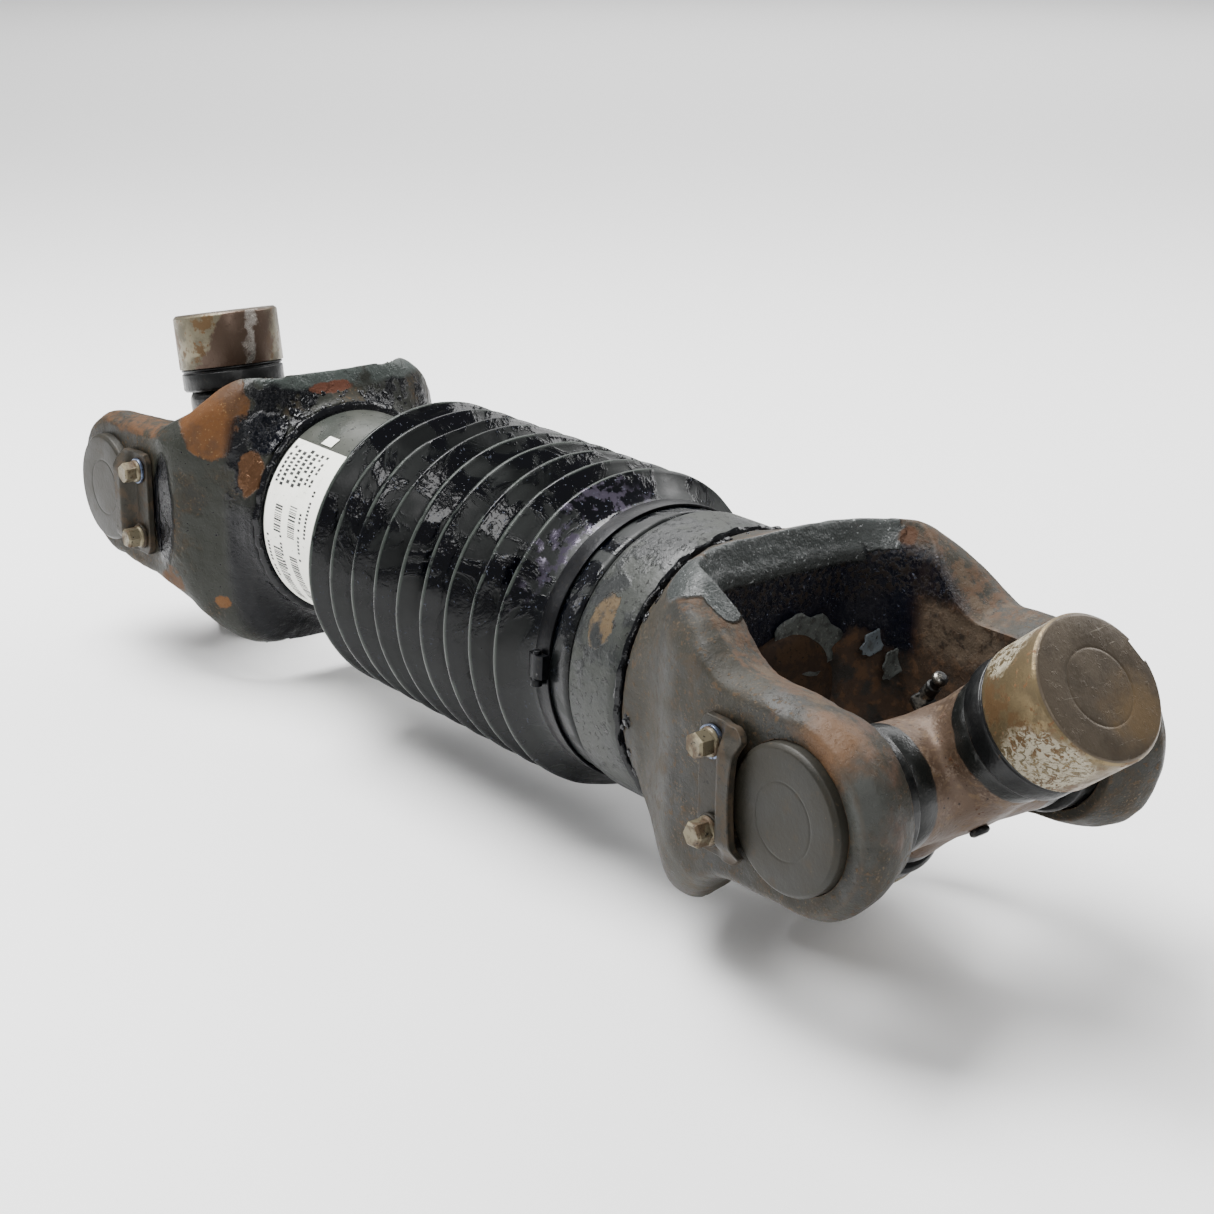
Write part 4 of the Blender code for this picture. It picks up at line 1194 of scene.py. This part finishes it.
def flake(name, place, width, length, curl, look, body, seed):
    """A ragged plate of old paint, curling off the surface. The place's Z axis points out of it."""
    rim = 40
    rings = 7
    points = [Vector((0, 0, 1))]
    for ring in range(1, rings + 1):
        share = ring / rings
        for step in range(rim):
            angle = 2 * math.pi * step / rim
            outline = Vector((2.4 * math.cos(angle) + seed, 2.4 * math.sin(angle), seed))
            ragged = 1 + 0.28 * noise.noise(outline)
            across = width * share * ragged * math.cos(angle)
            up = length * share * ragged * math.sin(angle)
            lift = 0.6 + curl * (max(-up, 0) / length) ** 2
            lift += 0.5 * noise.noise(Vector((across / 6, up / 6, seed)))
            points.append(Vector((across, up, lift)))
    faces = [(0, 1 + step, 1 + (step + 1) % rim) for step in range(rim)]
    for ring in range(rings - 1):
        for step in range(rim):
            here = 1 + ring * rim
            beside = (step + 1) % rim
            faces.append((here + step, here + rim + step, here + rim + beside, here + beside))
    plate = mesh_object(name, ([place @ (point * MM) for point in points], faces), look, body, 60)
    thick = plate.modifiers.new("thickness", "SOLIDIFY")
    thick.thickness = 0.7 * MM


def build_flakes(place, looks):
    """What has peeled off inside the near yoke's throat."""

    def on_wall(distance, across, height, turn):
        spot = place @ Matrix.Translation(Vector((-distance, across, height)) * MM)
        facing = Matrix(((0, 0, 1), (1, 0, 0), (0, 1, 0))).to_4x4()
        return spot @ facing @ Matrix.Rotation(turn, 4, "Z")

    pale = looks["pale_flake"]
    flake("large_flake", on_wall(91, 9, 20, -0.1), 18, 12.5, 2.6, looks["flake"], "front_shaft", 1.7)
    flake("small_flake", on_wall(84.5, 40, 16, 0.4), 6.5, 4.5, 1.5, pale, "front_shaft", 5.1)
    flake("star_flake", on_wall(78, 45.5, 8, 0.9), 7, 5, 1.8, looks["flake"], "front_shaft", 8.6)


def joint_place(prefix):
    """A joint's frame, from where the CAD part has its held cups."""
    low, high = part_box(prefix + "_left_cup")
    middle = (low + high) / 2
    place = Matrix.Translation((middle.x, 0, middle.z))
    return place if prefix == "front" else turned(place, 180, "Z")


def make_looks(front, rear):
    """Every material, by what it is for."""
    looks = {
        "front_yoke": near_yoke_look(front),
        "rear_yoke": far_yoke_look(rear),
        "front_cross": cross_look("near_cross_steel", (0.27, 0.17, 0.11), front.translation),
        "rear_cross": cross_look("far_cross_steel", (0.06, 0.05, 0.04), rear.translation),
        "plug": steel_look("throat_boss_iron", (0.16, 0.085, 0.04), 0.7, 0.2, (0.09, 0.05, 0.03)),
        "seal": rubber_look("seal_rubber", 0.3),
        "tab": steel_look("tab_steel", (0.06, 0.051, 0.034), 0.5, 0.3, (0.12, 0.08, 0.042)),
        "bolt": steel_look("plated_bolt", (0.5, 0.43, 0.28), 0.42, 0.6, (0.24, 0.16, 0.09)),
        "nipple": steel_look("nipple_steel", (0.7, 0.66, 0.58), 0.25, 0.9, (0.03, 0.03, 0.03), 0.65),
        "blue_steel": steel_look("washer_steel", (0.4, 0.5, 0.75), 0.28, 0.9, (0.1, 0.08, 0.06), 0.4),
        "clamp": steel_look("clamp_steel", (0.6, 0.6, 0.6), 0.2, 0.95, TAR, 0.8),
        "splines": steel_look("spline_steel", (1.1, 1.1, 1.05), 0.3, 1, (0.1, 0.08, 0.05), 0.4),
        "needles": steel_look("needle_steel", (1.5, 1.5, 1.5), 0.25, 1, (0.3, 0.25, 0.2), 0.3),
        "tube": tube_look(),
        "sleeve": sleeve_look(front),
        "tar": tar_look(),
        "flake": flake_look(),
        "pale_flake": steel_look("pale_flake", (0.4, 0.47, 0.52), 0.4, 0, (0.25, 0.28, 0.28)),
        "paper": paper_look(),
        "ink": ink_look(),
    }
    face = (0.28, 0.22, 0.155)
    dark_face = (0.055, 0.048, 0.031)
    across = Vector((0, 1, 0))
    for prefix, place in (("front", front), ("rear", rear)):
        centre = place.translation
        upwards = turned(place, -FREE_ANGLES[prefix], "Y").to_3x3().col[0]
        for name, direction in (("upper", upwards), ("lower", -upwards)):
            middle = centre + direction * 0.064
            below = direction.cross(across)
            if prefix == "front":
                side = (0.6, 0.45, 0.24)
                marks = [
                    (middle - across * 0.02 - below * 0.018, (17, 13, 17)),
                    (middle - across * 0.006 + below * 0.026, (12, 22, 12)),
                ]
                streak = None
            else:
                side = (0.62, 0.55, 0.38)
                marks = []
                streak = Vector((0.61, 0.79, 0))
            cup = f"{prefix}_{name}_cup"
            looks[cup] = cup_look(cup + "_steel", direction, centre, face, side, marks, streak)
        looks["held_cup_" + prefix] = held_cup_look(prefix, dark_face, centre)
    looks["boot"] = boot_look(front.translation.z, front.translation.x)
    return looks


def build_studio(front):
    """A pale floor, soft lights, and a camera in front of the shaft, to the right and a little above."""
    floor_paint = Paint("floor_paint", (0.92, 0.92, 0.92), 0.8, tone=1)
    sides = ((-1, -1), (1, -1), (1, 1), (-1, 1))
    corners = [Vector((x * FLOOR_HALF, y * FLOOR_HALF, FLOOR_LEVEL)) for x, y in sides]
    floor = mesh_object("floor", (corners, [(0, 1, 2, 3)]), floor_paint.finish())
    floor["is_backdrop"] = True
    world = bpy.data.worlds.new("studio_air")
    world.use_nodes = True
    background = world.node_tree.nodes["Background"]
    background.inputs["Color"].default_value = (1, 1, 1, 1)
    background.inputs["Strength"].default_value = 0.45
    bpy.context.scene.world = world
    lights = (
        ("top_light", (-0.5, -0.3, 1.6), (1.3, 0.9), 84, OBJECT_MIDDLE),
        ("left_light", (-1.4, -1.3, 1), (0.6, 0.6), 7, OBJECT_MIDDLE),
        ("back_light", (0.2, 1.6, 1.2), (1.2, 0.5), 20, OBJECT_MIDDLE),
        ("front_light", (1.7, -0.7, 1.3), (0.6, 0.5), 11, OBJECT_MIDDLE),
        ("floor_light", (-2.8, 2.8, 2.4), (4, 4), 150, (-2.8, 2.8, 0)),
    )
    for name, spot, size, power, target in lights:
        lamp = bpy.data.lights.new(name, "AREA")
        lamp.shape = "RECTANGLE"
        lamp.size, lamp.size_y = size
        lamp.energy = power
        light = bpy.data.objects.new(name, lamp)
        light.location = spot
        aim = Vector(target) - Vector(spot)
        light.rotation_euler = aim.to_track_quat("-Z", "Y").to_euler()
        bpy.context.scene.collection.objects.link(light)
    azimuth = math.radians(52.46)
    elevation = math.radians(18.4)
    roll = math.radians(0.65)
    lens = bpy.data.cameras.new("camera")
    lens.lens = CAMERA_LENS
    lens.sensor_width = 36
    lens.clip_start = 0.01
    camera = bpy.data.objects.new("camera", lens)
    flat = math.cos(elevation)
    back = Vector((math.sin(azimuth) * flat, -math.cos(azimuth) * flat, math.sin(elevation)))
    level = Vector((0, 0, 1)).cross(back).normalized()
    upward = back.cross(level)
    right = math.cos(roll) * level + math.sin(roll) * upward
    top = math.cos(roll) * upward - math.sin(roll) * level
    turn = Matrix((right, top, back)).transposed().to_4x4()
    spot = front.translation + Vector(CAMERA_OFFSET)
    camera.matrix_world = Matrix.Translation(spot) @ turn
    bpy.context.scene.collection.objects.link(camera)
    bpy.context.scene.camera = camera


def bounds():
    """The lowest and highest corner of everything that shows, in metres."""
    graph = bpy.context.evaluated_depsgraph_get()
    low = np.full(3, np.inf)
    high = np.full(3, -np.inf)
    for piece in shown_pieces():
        shown = piece.evaluated_get(graph)
        corners = np.array([shown.matrix_world @ Vector(corner) for corner in shown.bound_box])
        low = np.minimum(low, corners.min(0))
        high = np.maximum(high, corners.max(0))
    return [[float(part) for part in low], [float(part) for part in high]]


def main():
    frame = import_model()
    sizes = {"after_load": bounds()}
    front = joint_place("front")
    rear = joint_place("rear")
    looks = make_looks(front, rear)
    build_studio(front)

    near_yoke = build_joint("front", front, looks)
    far_yoke = build_joint("rear", rear, looks)
    build_sleeve(front, looks["sleeve"])
    build_tube(front, looks["tube"])
    build_bead("front_weld_bead", 118.6, 56.4, 61.8, front, looks["tar"], "front_shaft")
    build_bead("stub_weld_bead", 333.3, 47.3, 52, front, looks["tar"], "rear_shaft")
    build_bead("rear_weld_bead", 415.9, 47.3, 54.8, front, looks["tar"], "rear_shaft")
    build_boot(front, looks["boot"])
    build_clamp("front_boot_clamp", 171, 58.9, 88, front, looks, "front_shaft")
    build_clamp("rear_boot_clamp", 355, 53.7, -120, front, looks, "rear_shaft")
    build_label(front, looks)
    build_flakes(front, looks)
    tar = looks["tar"]
    ends = (113.5, 117.5)
    scatter("near_weld_tar", near_yoke, front, 90, ends, (-180, 180), (0.8, 2.6), 0.5, tar, "front_shaft")
    ends = (420, 427)
    scatter("far_weld_tar", far_yoke, front, 60, ends, (-40, 45), (0.7, 2.4), 0.35, tar, "rear_shaft")
    # The splines and the needles stay as the CAD part has them.
    for node, piece in frame["nodes"].items():
        if not piece.hide_render:
            piece.data.materials.clear()
            piece.data.materials.append(looks["splines" if node == "spline_shaft" else "needles"])
    sizes["before_finish"] = bounds()


main()
